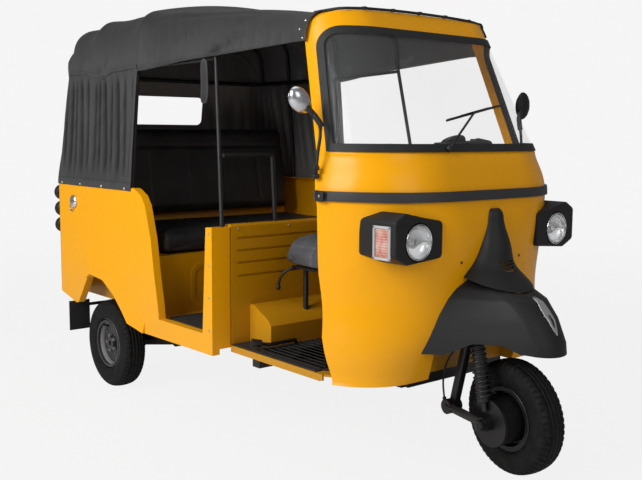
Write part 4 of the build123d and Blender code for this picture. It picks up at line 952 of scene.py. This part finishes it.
DISC = [(14, 96), (2, 93), (-10, 84), (-15, 72), (-15, 52), (-21, 44), (-22, 20), (-19, 20), (-18, 42), (-11, 52),
        (-11, 71), (-6, 82), (5, 90), (16, 93)]
HUB = [(-40, 0), (-40, 14), (-38, 19), (-33, 21), (-31, 27), (-22, 29), (-18, 33), (-14, 33)]


def tyre_mesh(name, place):
    """Ribbed road tyre: two pairs of grooves round it, notched shoulders and a bead line."""
    profile = [(-x, r) for x, r in reversed(TYRE_PROFILE[1:])] + TYRE_PROFILE
    rings = []
    for i, a in enumerate(around(NOTCHES * NOTCH_STEPS)):
        ring = []
        for x, r in profile:
            out, r = abs(x), r / 1000
            if 30 < out < 47 and (i + (0 if x > 0 else 3)) % NOTCH_STEPS in (0, 1):
                r -= NOTCH_DEEP * ease(out, 30, 36) * (1 - ease(out, 46, 48))
            ring.append((x / 1000, r * math.cos(a), r * math.sin(a)))
        rings.append(ring)
    mesh = grid_mesh(name, rings, closed=True, looped=True)
    mesh.transform(place)
    return mesh


def nut(name, across, height, bore):
    """Hexagonal nut on its stud, standing along -X, in metres."""
    bm = bmesh.new()
    for r, x0, x1, sides in ((across / math.sqrt(3), 0, -height, 6), (bore, -height, -height * 1.5, 12)):
        bmesh.ops.create_cone(bm, cap_ends=True, segments=sides, radius1=r, radius2=r * 0.93, depth=abs(x1 - x0),
                              matrix=Matrix.Translation(((x0 + x1) / 2, 0, 0)) @ Matrix.Rotation(-math.pi / 2, 4, "Y"))
    return mesh_of(bm, name, smooth=False)


def ring_of(name, shape, count, radius, place, start):
    """Copies of a small mesh on a circle about X, made by instancing on a mesh circle."""
    values = {"Count": count, "Radius": radius, "Start": start, "Finish": steel}
    tree, source = geometry_tree(name + "_ring", zip(values, ("Int", "Float", "Float", "Material")))
    mesh = node(tree, "GeometryNodeMeshCircle", "Mesh", {"Vertices": source["Count"], "Radius": source["Radius"]})
    spin = node(tree, "ShaderNodeCombineXYZ", "Vector", {"X": source["Start"]})
    for turn in ((0, math.pi / 2, 0), spin):
        mesh = node(tree, "GeometryNodeTransform", "Geometry", {"Geometry": mesh, "Rotation": turn})
    mesh = node(tree, "GeometryNodeInstanceOnPoints", "Instances", {"Points": mesh, "Instance": source["Geometry"]})
    mesh = node(tree, "GeometryNodeRealizeInstances", "Geometry", {"Geometry": mesh})
    mesh = node(tree, "GeometryNodeSetMaterial", "Geometry", {"Geometry": mesh, "Material": source["Finish"]})
    feed(tree.nodes.new("NodeGroupOutput").inputs[0], mesh)
    obj = add_mesh(name, shape)
    mod = obj.modifiers.new("ring", "NODES")
    mod.node_group = tree
    for item in tree.interface.items_tree:
        if item.in_out == "INPUT" and item.name in values:
            mod[item.identifier] = values[item.name]
    mesh = applied(obj)
    mesh.transform(place)
    return mesh


def wheel(label, body, tyre_node, face):
    """Tyre, rim, dished disc with its hub, nuts, bolts and valve; face is the side of the disc."""
    joint = joints[body + "_spin"]
    place = facing(joint["pos_m"], joint["axis"])
    outside = place @ Matrix.Rotation(math.pi if face > 0 else 0, 4, "Z")
    rim_finish, disc_finish = (rim_black, rim_black) if label == "front" else (rim_grey, disc_dark)
    disc = [turning(name, [(face * x, r) for x, r in profile], place, segments)
            for name, profile, segments in (("disc", DISC, 72), ("hub", HUB, 40))]
    nuts = ring_of(label + "_nuts", nut("nut", 0.017, 0.009, 0.0045), 5, 0.036,
                   outside @ Matrix.Translation((-0.0215, 0, 0)), 0.3)
    bolts = ring_of(label + "_bolts", nut("bolt", 0.012, 0.006, 0.003), 5, 0.0785,
                    outside @ Matrix.Translation((-0.011, 0, 0)), 0.9)
    valve = tube("valve", [outside @ Vector(p) for p in ((-0.014, 0.05, 0.074), (-0.046, 0.056, 0.080))], 0.0035, 8)
    piece(label + "_tyre_ribbed", tyre_mesh(label + "_tyre", place), tyre_rubber, tyre_node, body)
    for name, mesh, finish in (("_wheel_rim", turning("rim", RIM, place, 72), rim_finish),
                               ("_wheel_disc", joined("disc", disc), disc_finish), ("_wheel_nuts", nuts, steel),
                               ("_rim_bolts", bolts, steel), ("_valve", valve, rubber)):
        piece(label + name, mesh, finish, body=body)


wheel("front", "front_wheel", "front_tyre", -1)
wheel("rear_right", "rear_wheel_right", "rear_tyre_right", -1)
wheel("rear_left", "rear_wheel_left", "rear_tyre_left", 1)

# ------------------------------------------------------------------ lamps
LAMP_X, LAMP_Z, LAMP_FACE = 381, 849, 118
LENS_R, FLUTE = 57.5, 7.5                                           # radius of the lens, width of a flute
BOWL = [(26.5, 60.5), (26.5, 57.5), (20, 56), (8, 50), (2, 38), (0.8, 20), (0.5, 0)]
BULB = [(1, 0), (1.2, 9), (10, 9), (13, 7), (14.5, 4), (15, 0)]
LAMP_RIM = [(18, 61.2), (31, 61.2), (32.5, 60), (31, 58.5), (29, 57.8), (18, 57.6), (18, 61.2)]
TAIL_LENS = [(2, 36), (22, 34.5), (26.5, 30)] + [(28.7 if k % 2 else 27.5, 30 - 3 * k) for k in range(1, 9)] \
    + [(29.5, 0)]
TAIL_BEZEL = [(-26, 37), (-26, 39), (16, 39.5), (20, 38.5), (19, 36.5), (4, 36.2), (-26, 36.2), (-26, 37)]
TAIL_LAMPS = ((735, red_lens, "stop"), (818, amber_tail, "turn"), (901, red_lens, "tail"))


def headlamp(side, name):
    """Bowl, bulb shield and domed, fluted lens of one headlamp."""
    place = facing(spot(side * LAMP_X, LAMP_FACE + 29, LAMP_Z))
    piece("headlamp_bowl_" + name, turning("bowl", BOWL, place, 64), lamp_bowl)
    piece("bulb_" + name, turning("bulb", BULB, place, 24), lens_glass)
    piece("headlamp_rim_" + name, turning("rim", LAMP_RIM, place, 64), silver)
    rows = []
    for r in np.linspace(2, LENS_R, 14):
        dome = 30 + 5 * (1 - (r / LENS_R) ** 2)
        rows.append([place @ (Vector((dome + 0.5 * math.sin(r * math.cos(a) * 2 * math.pi / FLUTE),
                                      r * math.cos(a), r * math.sin(a))) / 1000) for a in around(72)])
    cover = grid_mesh("cover", rows, closed=True, caps=(0,))
    piece("headlamp_lens_" + name, thickened(cover, 0.0016), lens_glass, "headlamp_lenses")


def indicator(side, name):
    """Side lamp: a clear ribbed cover with its frame over a salmon reflector."""
    s0, s1, z0, z1, bar = 140, 224, 792, 906, 9
    bars = [((s0, z0), (s0 + bar, z1)), ((s1 - bar, z0), (s1, z1)), ((s0, z0), (s1, z0 + bar)),
            ((s0, z1 - bar), (s1, z1))]
    frame_bars = [block("bar", (side * 488, *a), (side * 495, *b), 0.0018) for a, b in bars]
    piece("indicator_frame_" + name, joined("indicator_frame", frame_bars), frosted)
    rows = []
    for s in np.linspace(s0 + 8, s1 - 8, 26):
        row = []
        for z in np.linspace(z0 + 8, z1 - 8, 22):
            crown = 5 * (1 - ((s - (s0 + s1) / 2) / 30) ** 2) * (1 - ((z - (z0 + z1) / 2) / 52) ** 2)
            row.append(spot(side * (489 + max(crown, 0) + 0.9 * math.sin((z - z0) * 2 * math.pi / 9)), s, z))
        rows.append(row)
    piece("indicator_reflector_" + name, thickened(grid_mesh("reflector", rows), 0.002), amber_lens,
          "front_indicators")


def tail_lamp(side, z, finish, name):
    """Round rear lamp: ringed lens in a dark bezel."""
    place = facing(spot(side * 590, 2434, z), (0, 1, 0))
    piece("tail_lens_" + name, turning("lens", TAIL_LENS, place, 40), finish, "tail_lamps")
    piece("tail_bezel_" + name, turning("bezel", TAIL_BEZEL, place, 40), black_plastic)


for side, name in SIDES.items():
    headlamp(side, name)
    indicator(side, name)
    for z, finish, what in TAIL_LAMPS:
        tail_lamp(side, z, finish, what + "_" + name)


# ------------------------------------------------------------------ wiper, mirrors, trim
MIRRORS = {-1: (600, 1320, 0.037, 0.051, 0.62), 1: (620, 1330, 0.042, 0.058, 0.10)}     # out, height, half size, tilt
HEADER_CREST = ((-409, 640), (-405, 592), (-392, 540), (-369, 515), (-297, 494), (0, 494), (243, 494), (300, 500),
                (345, 512))                                         # x, station where the header is highest


def wiper():
    """Pivot, arm and rubber blade resting across the glass."""
    def on_glass(lift, *places):
        return [on_front("windscreen_glass", x, z, lift)[0] for x, z in places]

    pivot, out = on_front("windscreen_gasket", -172, 1155, 8)
    blade = on_glass(7, (-118, 1253), (-30, 1269), (48, 1283), (146, 1301), (240, 1317))
    meshes = [turning("boss", [(-10, 0), (-10, 12), (4, 11), (7, 7), (8, 0)], aimed(pivot, out), 24),
              tube("arm", [pivot] + on_glass(15, (-66, 1216), (44, 1282)), 0.0042, 8, 0.02, 0.7),
              tube("blade", blade, 0.0038, 8, 0.0, 1.6),
              tube("bow", on_glass(12, (-40, 1268), (46, 1284), (140, 1301)), 0.003, 8, 0.01)]
    piece("wiper", joined("wiper", meshes), satin_black)


def mirror(side, name):
    """Rounded mirror head on its stalk, bright behind, with its glass facing the driver."""
    out, head_z, wide, tall, tilt = MIRRORS[side]
    place = Matrix.Translation(spot(side * out, 484, head_z)) @ Matrix.Rotation(side * 0.12, 4, "Z") \
        @ Matrix.Rotation(side * tilt, 4, "Y")
    bm = bmesh.new()
    bmesh.ops.create_uvsphere(bm, u_segments=40, v_segments=24, radius=1)
    for v in bm.verts:
        x, y, z = v.co
        rib = 1 + (0.012 * math.sin(38 * z) if y < 0 else 0)
        deep = 0.014 * y if y > 0 else 0.027 * y * rib
        v.co = place @ Vector((wide * x * rib, deep if deep < 0.010 else 0.010 + (deep - 0.010) * 0.15, tall * z))
    shell = bright_shell if side < 0 else black_plastic
    piece("mirror_head_" + name, mesh_of(bm, "mirror_head"), shell)
    glass_place = place @ Matrix.Translation((0, 0.0115, 0)) @ Matrix.Diagonal((1, 1, 1.35, 1)) \
        @ Matrix.Rotation(math.pi / 2, 4, "Z")
    glass = turning("glass", [(0, 0), (0, 32), (1.6, 33), (2, 32), (2, 0)], glass_place, 40)
    piece("mirror_glass_" + name, glass, silver)
    stalk = ((563, 438, 1052), (561, 434, 1130), (548, 430, 1215), (549, 440, 1248), (566, 458, 1282))
    horn = ((545, 434, 1236), (552, 444, 1256), (572, 462, 1286), (out - 6, 476, head_z - 8))
    meshes = [tube(what, [spot(side * x, s, z) for x, s, z in route], radius, sides, 0.03)
              for what, route, radius, sides in (("stalk", stalk, 0.0058, 12), ("horn", horn, 0.0105, 16))]
    for z in (1062, 1090):
        meshes.append(block("clamp", (side * 552, 430, z - 8), (side * 575, 450, z + 8), 0.003))
        meshes.append(turning("bolt", [(-4, 0), (-4, 5), (4, 5), (6, 3), (6, 0)], facing(spot(side * 566, 428, z)), 6))
    ball = [(10 * math.cos(a), 10 * math.sin(a)) for a in np.linspace(math.pi, 0, 12)]
    meshes.append(turning("ball", ball, Matrix.Translation(spot(side * (out - 10), 474, head_z - 12)), 20))
    piece("mirror_stalk_" + name, joined("mirror_stalk", meshes), satin_black, "mirrors")


def fastened(name, spots, finish, radius=4.5):
    """One mesh of round-headed screws, each at a point with its surface's normal."""
    head = [(1, radius), (-0.8, radius), (-2.2, radius * 0.72), (-2.6, radius * 0.4), (-1.8, radius * 0.25), (-1.8, 0)]
    meshes = [turning("screw", head, aimed(point, -Vector(normal)), 14) for point, normal in spots]
    return piece(name, joined(name, meshes), finish)


def belt_ends():
    """Clip plates that close the rubbing strip at each doorway, with a screw apiece."""
    meshes, screws = [], []
    for side, end in zip(SIDES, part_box("belt_strip")):
        x = end.x * 1000
        meshes.append(block("plate", (x - side, 388, 976), (x + side * 4, 430, 1014), 0.002))
        screws.append((spot(x + side * 4.5, 408, 995), (side, 0, 0)))
    piece("belt_end_plates", joined("belt_end_plates", meshes), satin_black)
    fastened("belt_end_screws", screws, steel, 5)


def fender_flash():
    """Blank leaf-shaped flash with a dark heart, down the ridge of the fender."""
    for name, finish, grow, lift, top, foot in (("fender_flash", foil, 1.0, 0.7, 650, 532),
                                                ("flash_heart", satin_black, 0.24, 1.7, 596, 556)):
        rows = []
        for t in np.linspace(0, 1, 26):
            wide = 21.5 * grow * max(0.03, math.sin(math.pi * (0.03 + 0.97 * t) ** 0.80)) ** 0.62
            rows.append([on_front("front_fender", wide * k, top - (top - foot) * t, lift)[0]
                         for k in np.linspace(-1, 1, 9)])
        piece(name + "_leaf", thickened(grid_mesh(name, rows), 0.0008), finish)


def header_trim():
    """Black beading where the canopy meets the header, with its clips."""
    line = []
    for x in np.linspace(-409, 372, 100):
        hit = hit_from("windscreen_frame", spot(x, from_table(x, HEADER_CREST), 2000), (0, 0, -1))
        if hit is not None:
            line.append(hit + Vector((0, -0.004, 0.006)))
    for z in (1632, 1618, 1602):
        hit = hit_from("windscreen_frame", spot(700, 506, z), (-1, 0, 0))
        if hit is not None:
            line.append(hit + Vector((0.0035, 0, 0)))
    piece("header_beading", tube("header_beading", line, 0.0055, 10), rubber)
    clips = [slab("clip", p + Vector((-0.008, -0.008, -0.005)), p + Vector((0.008, 0.008, 0.0065)), 0.002)
             for p in line[14:87:18]]
    piece("header_clips", joined("header_clips", clips), satin_black)


wiper()
belt_ends()
fender_flash()
header_trim()
for side, name in SIDES.items():
    mirror(side, name)
fastened("nose_screws", [on_front("front_panel", x, 762, 0.3) for x in (-160, 160)], satin_black, 5)

# ------------------------------------------------------------------ small fittings
REST_TURN = -9                # degrees that the steering is turned by at rest
HOSE_ROUTE = [(-150, 124, 470), (-152, 150, 440), (-156, 182, 400), (-160, 198, 350), (-164, 200, 300),
              (-166, 190, 262)]                                     # with the wheel straight ahead
HOSE_LENGTH, HOSE_R = 0.231, 0.0035
STRAP_WIDE, STRAP_LONG = 0.052, 0.184


def steering_rest():
    """Matrix that turns a point from straight ahead to the steering's rest."""
    pivot = Matrix.Translation(joints["steering_turn"]["pos_m"])
    turn = Matrix.Rotation(math.radians(REST_TURN), 4, Vector(joints["steering_turn"]["axis"]))
    return pivot @ turn @ pivot.inverted()


def brake_line():
    """Hose from the union on the fork leg to the one on the link arm, bowed out behind the leg."""
    data = bpy.data.curves.new("brake_line", "CURVE")
    data.dimensions = "3D"
    data.bevel_depth = HOSE_R
    data.bevel_resolution = 5
    spline = data.splines.new("NURBS")
    spline.points.add(len(HOSE_ROUTE) - 1)
    route = [steering_rest() @ spot(*p) for p in HOSE_ROUTE]
    for point, place in zip(spline.points, route):
        point.co = (*place, 1)
    spline.order_u = 3
    spline.use_endpoint_u = True
    spline.resolution_u = 16
    data.materials.append(rubber)
    hose = bpy.data.objects.new("brake_line", data)
    scene.collection.objects.link(hose)
    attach(hose, "steering")
    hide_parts("brake_hose")


def seat_lever():
    """Bent lever with a knob under the driver's seat."""
    line = [spot(-300, 880, 666), spot(-330, 902, 658), spot(-345, 928, 624), spot(-343, 938, 588)]
    knob = turning("knob", [(-12, 0), (-10, 7), (0, 9.5), (10, 7), (12, 0)],
                   facing(spot(-343, 939, 584), (0.1, 0.1, -1)), 16)
    piece("seat_lever", joined("seat_lever", [tube("lever", line, 0.0055, 10, 0.02), knob]), satin_black)


def front_spring():
    """Coil round the front shock's body, wound about the middle of that body at two heights."""
    low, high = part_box("front_shock")
    middles = []
    for z in (0.300, 0.470):
        centre = Vector(((low.x + high.x) / 2, low.y + (high.y - low.y) * (z - low.z) / (high.z - low.z), z))
        rays = [Vector((math.cos(a), math.sin(a), 0)) for a in around(24)]
        hits = [hit_from("front_shock", centre + ray * 0.2, -ray) for ray in rays]
        hits = [hit for hit in hits if hit is not None]
        middles.append(sum(hits, Vector()) / len(hits))
    along = middles[1] - middles[0]
    foot, head = middles[0] - along * 0.05, middles[1] + along * 0.05
    along.normalize()
    side = along.orthogonal().normalized()
    up = along.cross(side)
    turns, turn_steps, radius = 11, 20, 0.0262
    line = []
    for i in range(turns * turn_steps + 1):
        a = 2 * math.pi * i / turn_steps
        line.append(foot.lerp(head, i / (turns * turn_steps)) + radius * (math.cos(a) * side + math.sin(a) * up))
    piece("front_spring", tube("front_spring", line, 0.0042, 8), satin_black, body="steering")


def curtain_studs():
    """Turn-button studs along the curtains' foot."""
    spots = []
    for side in SIDES:
        for st in (1691, 1915, 2138, 2340):
            x, s, z = side_point(side, (st - CURTAIN_FRONT) / (FOOT_BACK - CURTAIN_FRONT), 958)
            spots.append((spot(x + side * 3.2, s, z), (side, 0, 0)))
    spots += [(spot(x, 2434.5, 958), (0, 1, 0)) for x in (-450, -150, 150, 450)]
    fastened("curtain_studs", spots, silver, 6.2)


def canopy_rivets():
    """Rivets where the cloth is fixed to the header."""
    spots = []
    for side in SIDES:
        for st, z in ((619, 1547), (640, 1580), (622, 1610)):
            hit = hit_from("canopy_cover", spot(side * 700, st, z), (-side, 0, 0))
            if hit is not None:
                spots.append((hit - Vector((side * 0.001, 0, 0)), (side, 0, 0)))
    fastened("canopy_rivets", spots, silver)


def instruments():
    """Speedometer on the handlebar's cover, with a plain dial that carries no figures."""
    place = Matrix.Translation(spot(6, 322, 1176)) @ Matrix.Rotation(math.radians(REST_TURN), 4, "Z") \
        @ aimed(Vector(), Vector((0, 0.45, 1)))
    ring = [(-4, 0), (-4, 46), (6, 47), (12, 45), (12, 40), (4, 38.5), (4, 0)]
    face = [(4.5, 0), (4.5, 38), (5.2, 38), (5.2, 0)]
    needle = tube("needle", [place @ Vector((0.008, 0, 0)), place @ Vector((0.008, 0.026, 0.012))], 0.0011, 6)
    for name, mesh, finish in (("speedometer", turning("speedometer", ring, place, 48), black_plastic),
                               ("speedometer_face", turning("face", face, place, 40), dial_white),
                               ("speedometer_needle", needle, red_lens)):
        piece(name, mesh, finish, body="steering")


def grips():
    """Ribbed rubber grips and their levers at both ends of the handlebar."""
    turned = steering_rest()
    meshes, levers = [], []
    for side in SIDES:
        a, b = spot(side * 312, 477, 1149.6), spot(side * 212, 430, 1164.8)
        length = (b - a).length * 1000
        profile = [(0, 0), (0, 17.5)] + [(4 + k * length / 27, 17.2 if k % 2 else 18.6) for k in range(26)] \
            + [(length, 17.5), (length, 0)]
        meshes.append(turning("grip", profile, turned @ aimed(a, b - a), 24))
        route = ((196, 420, 1166), (213, 414, 1146), (290, 446, 1136), (326, 462, 1130))
        levers.append(tube("lever", [turned @ spot(side * x, s, z) for x, s, z in route], 0.0045, 8, 0.015, 1.5))
        perch, half = turned @ spot(side * 196, 424, 1166), Vector((0.016, 0.016, 0.014))
        levers.append(slab("perch", perch - half, perch + half, 0.004))
    piece("handlebar_grips", joined("grips", meshes), rubber, body="steering")
    piece("brake_levers", joined("levers", levers), satin_black, body="steering")


def axle_nut():
    """Worn nut on the outer end of the front axle, where the link arm carries it."""
    joint = joints["front_wheel_spin"]
    place = facing(joint["pos_m"], joint["axis"])
    hit = hit_from("link_arm", place @ Vector((-0.5, 0, 0)), place.col[0].xyz)
    mesh = nut("axle_nut", 0.034, 0.010, 0.009)
    mesh.transform(place @ Matrix.Translation(((place.inverted() @ hit).x + 0.001, 0, 0)))
    piece("front_axle_nut", mesh, cast, body="steering")


def filler():
    """Bright fuel cap on its flange, with the ring lock hanging below."""
    cap = [(-2, 0), (-2, 30), (4, 32), (6, 29), (10, 26), (12.5, 20), (13.5, 0)]
    piece("fuel_cap", turning("cap", cap, facing(spot(-634, 2211, 870), (-1, 0, 0)), 40), silver,
          "filler_cap")
    ring = [spot(-638, 2236 + 17 * math.cos(a), 838 + 17 * math.sin(a)) for a in np.linspace(0, 2 * math.pi, 33)]
    piece("lock_ring", tube("lock_ring", ring, 0.0022, 8), steel)


def engine_lid_fittings():
    """Two turn handles on the engine lid."""
    back = place_of(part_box("engine_lid")[1])[1] - 1
    meshes = []
    for x in (-330, 330):
        meshes.append(turning("knob", [(-2, 0), (-2, 16), (6, 15), (12, 10), (13, 0)],
                              facing(spot(x, back, 512), (0, 1, 0)), 20))
        meshes.append(block("wing", (x - 5, back, 496), (x + 5, back + 18, 528), 0.003))
    piece("lid_handles", joined("lid_handles", meshes), satin_black, body="engine_lid")


def hanging_strap():
    """Webbing loop that hangs from the side rail behind the driver."""
    line = [spot(-548, 1166, 1506), spot(-546, 1168, 1440), spot(-542, 1172, 1370), spot(-545, 1174, 1322)]
    rows = [[p + Vector((0.0015 * math.sin(i), STRAP_WIDE / 2 * k, 0)) for k in (-1, 1)] for i, p in enumerate(line)]
    strap = thickened(grid_mesh("strap", rows), 0.0028, levels=2)
    piece("curtain_strap", store_fold_shade(strap), cloth)


def panel_screws():
    """Screws along the bulkhead and up its side posts."""
    spots = [(spot(x, 987.4, 830), (0, -1, 0)) for x in (-505, -250, 0, 250, 505)]
    spots += [(spot(side * 632.6, 1010, z), (side, 0, 0)) for side in SIDES for z in (430, 560, 690, 815)]
    fastened("panel_screws", spots, steel, 4.2)


def floor_ribs():
    """Cab mat out to the sills, and raised ribs on both floor mats."""
    meshes = [block("cab_mat", (-541, 462, 362.5), (541, 984, 368), 0.0025)]
    for first, s0, s1, foot in ((-510, 475, 970, 367.5), (-540, 1090, 1425, 405.5)):
        meshes += [block("rib", (x - 4, s0, foot), (x + 4, s1, foot + 3), 0.0012, 1)
                   for x in range(first, 1 - first, 30)]
    piece("mat_ribs", joined("mat_ribs", meshes, smooth=False), mat_rubber)


brake_line()
seat_lever()
front_spring()
curtain_studs()
canopy_rivets()
instruments()
grips()
axle_nut()
filler()
engine_lid_fittings()
hanging_strap()
panel_screws()
floor_ribs()

# ------------------------------------------------------------------ floor and light
FLOOR_HALF = 30
FLOOR_GREY, FLOOR_GLOW, WORLD_GREY, WORLD_LIGHT = 0.80, 0.915, 0.914, 0.215
ground = add_mesh("floor", grid_mesh("floor", [[(x, y, 0) for x in (-FLOOR_HALF, FLOOR_HALF)]
                                               for y in (-FLOOR_HALF, FLOOR_HALF)]))
floor_mat = bpy.data.materials.new("pale_floor")
floor_mat.use_nodes = True
tree = floor_mat.node_tree
surface = tree.nodes["Principled BSDF"]
feed(surface.inputs["Base Color"], (FLOOR_GREY,) * 3)
feed(surface.inputs["Roughness"], 0.95)
glow = node(tree, "ShaderNodeEmission", 0, {"Color": (FLOOR_GLOW,) * 3})
place = node(tree, "ShaderNodeTexCoord", "Object")
reach = node(tree, "ShaderNodeVectorMath", "Value", {0: place}, operation="LENGTH")
far_off = node(tree, "ShaderNodeMapRange", "Result",                # shadows near the part, plain floor further off
               {"Value": reach, "From Min": 2.5, "From Max": 8.0, "To Min": 0.94, "To Max": 1.0})
sight = node(tree, "ShaderNodeLightPath", "Is Camera Ray")
share = node(tree, "ShaderNodeMath", 0, {0: sight, 1: far_off}, operation="MULTIPLY")
mixed = node(tree, "ShaderNodeMixShader", 0, {0: share, 1: surface.outputs[0], 2: glow})
feed(tree.nodes["Material Output"].inputs["Surface"], mixed)
ground.data.materials.append(floor_mat)

world = bpy.data.worlds.new("studio")
scene.world = world
world.use_nodes = True
tree = world.node_tree
back = tree.nodes["Background"]
feed(back.inputs["Color"], (1, 1, 1))
feed(back.inputs["Strength"], WORLD_LIGHT)
pale = node(tree, "ShaderNodeBackground", 0, {"Color": (WORLD_GREY,) * 3, "Strength": 1.0})
paths = tree.nodes.new("ShaderNodeLightPath").outputs
seen = node(tree, "ShaderNodeMath", 0, {0: paths["Is Camera Ray"], 1: paths["Is Transmission Ray"]},
            operation="MAXIMUM")
mixed = node(tree, "ShaderNodeMixShader", 0, {0: seen, 1: back.outputs[0], 2: pale})
feed(tree.nodes["World Output"].inputs["Surface"], mixed)


def lamp(name, place, target, size, power):
    """Square lamp of a size in metres and a power in watts, turned to its target."""
    data = bpy.data.lights.new(name, "AREA")
    data.size = size
    data.energy = power
    obj = bpy.data.objects.new(name, data)
    obj.location = place
    obj.rotation_euler = (Vector(target) - Vector(place)).to_track_quat("-Z", "Y").to_euler()
    scene.collection.objects.link(obj)


lamp("key_lamp", (-5.4, -0.4, 3.5), (0, 0.2, 0.8), 3.0, 282)
lamp("front_lamp", (-1.5, -6.0, 3.6), (0, -0.8, 0.9), 3.0, 48)
lamp("top_lamp", (0.0, 0.5, 6.0), (0, 0, 1), 4.0, 58)

# ------------------------------------------------------------------ scene update
bpy.context.view_layer.update()
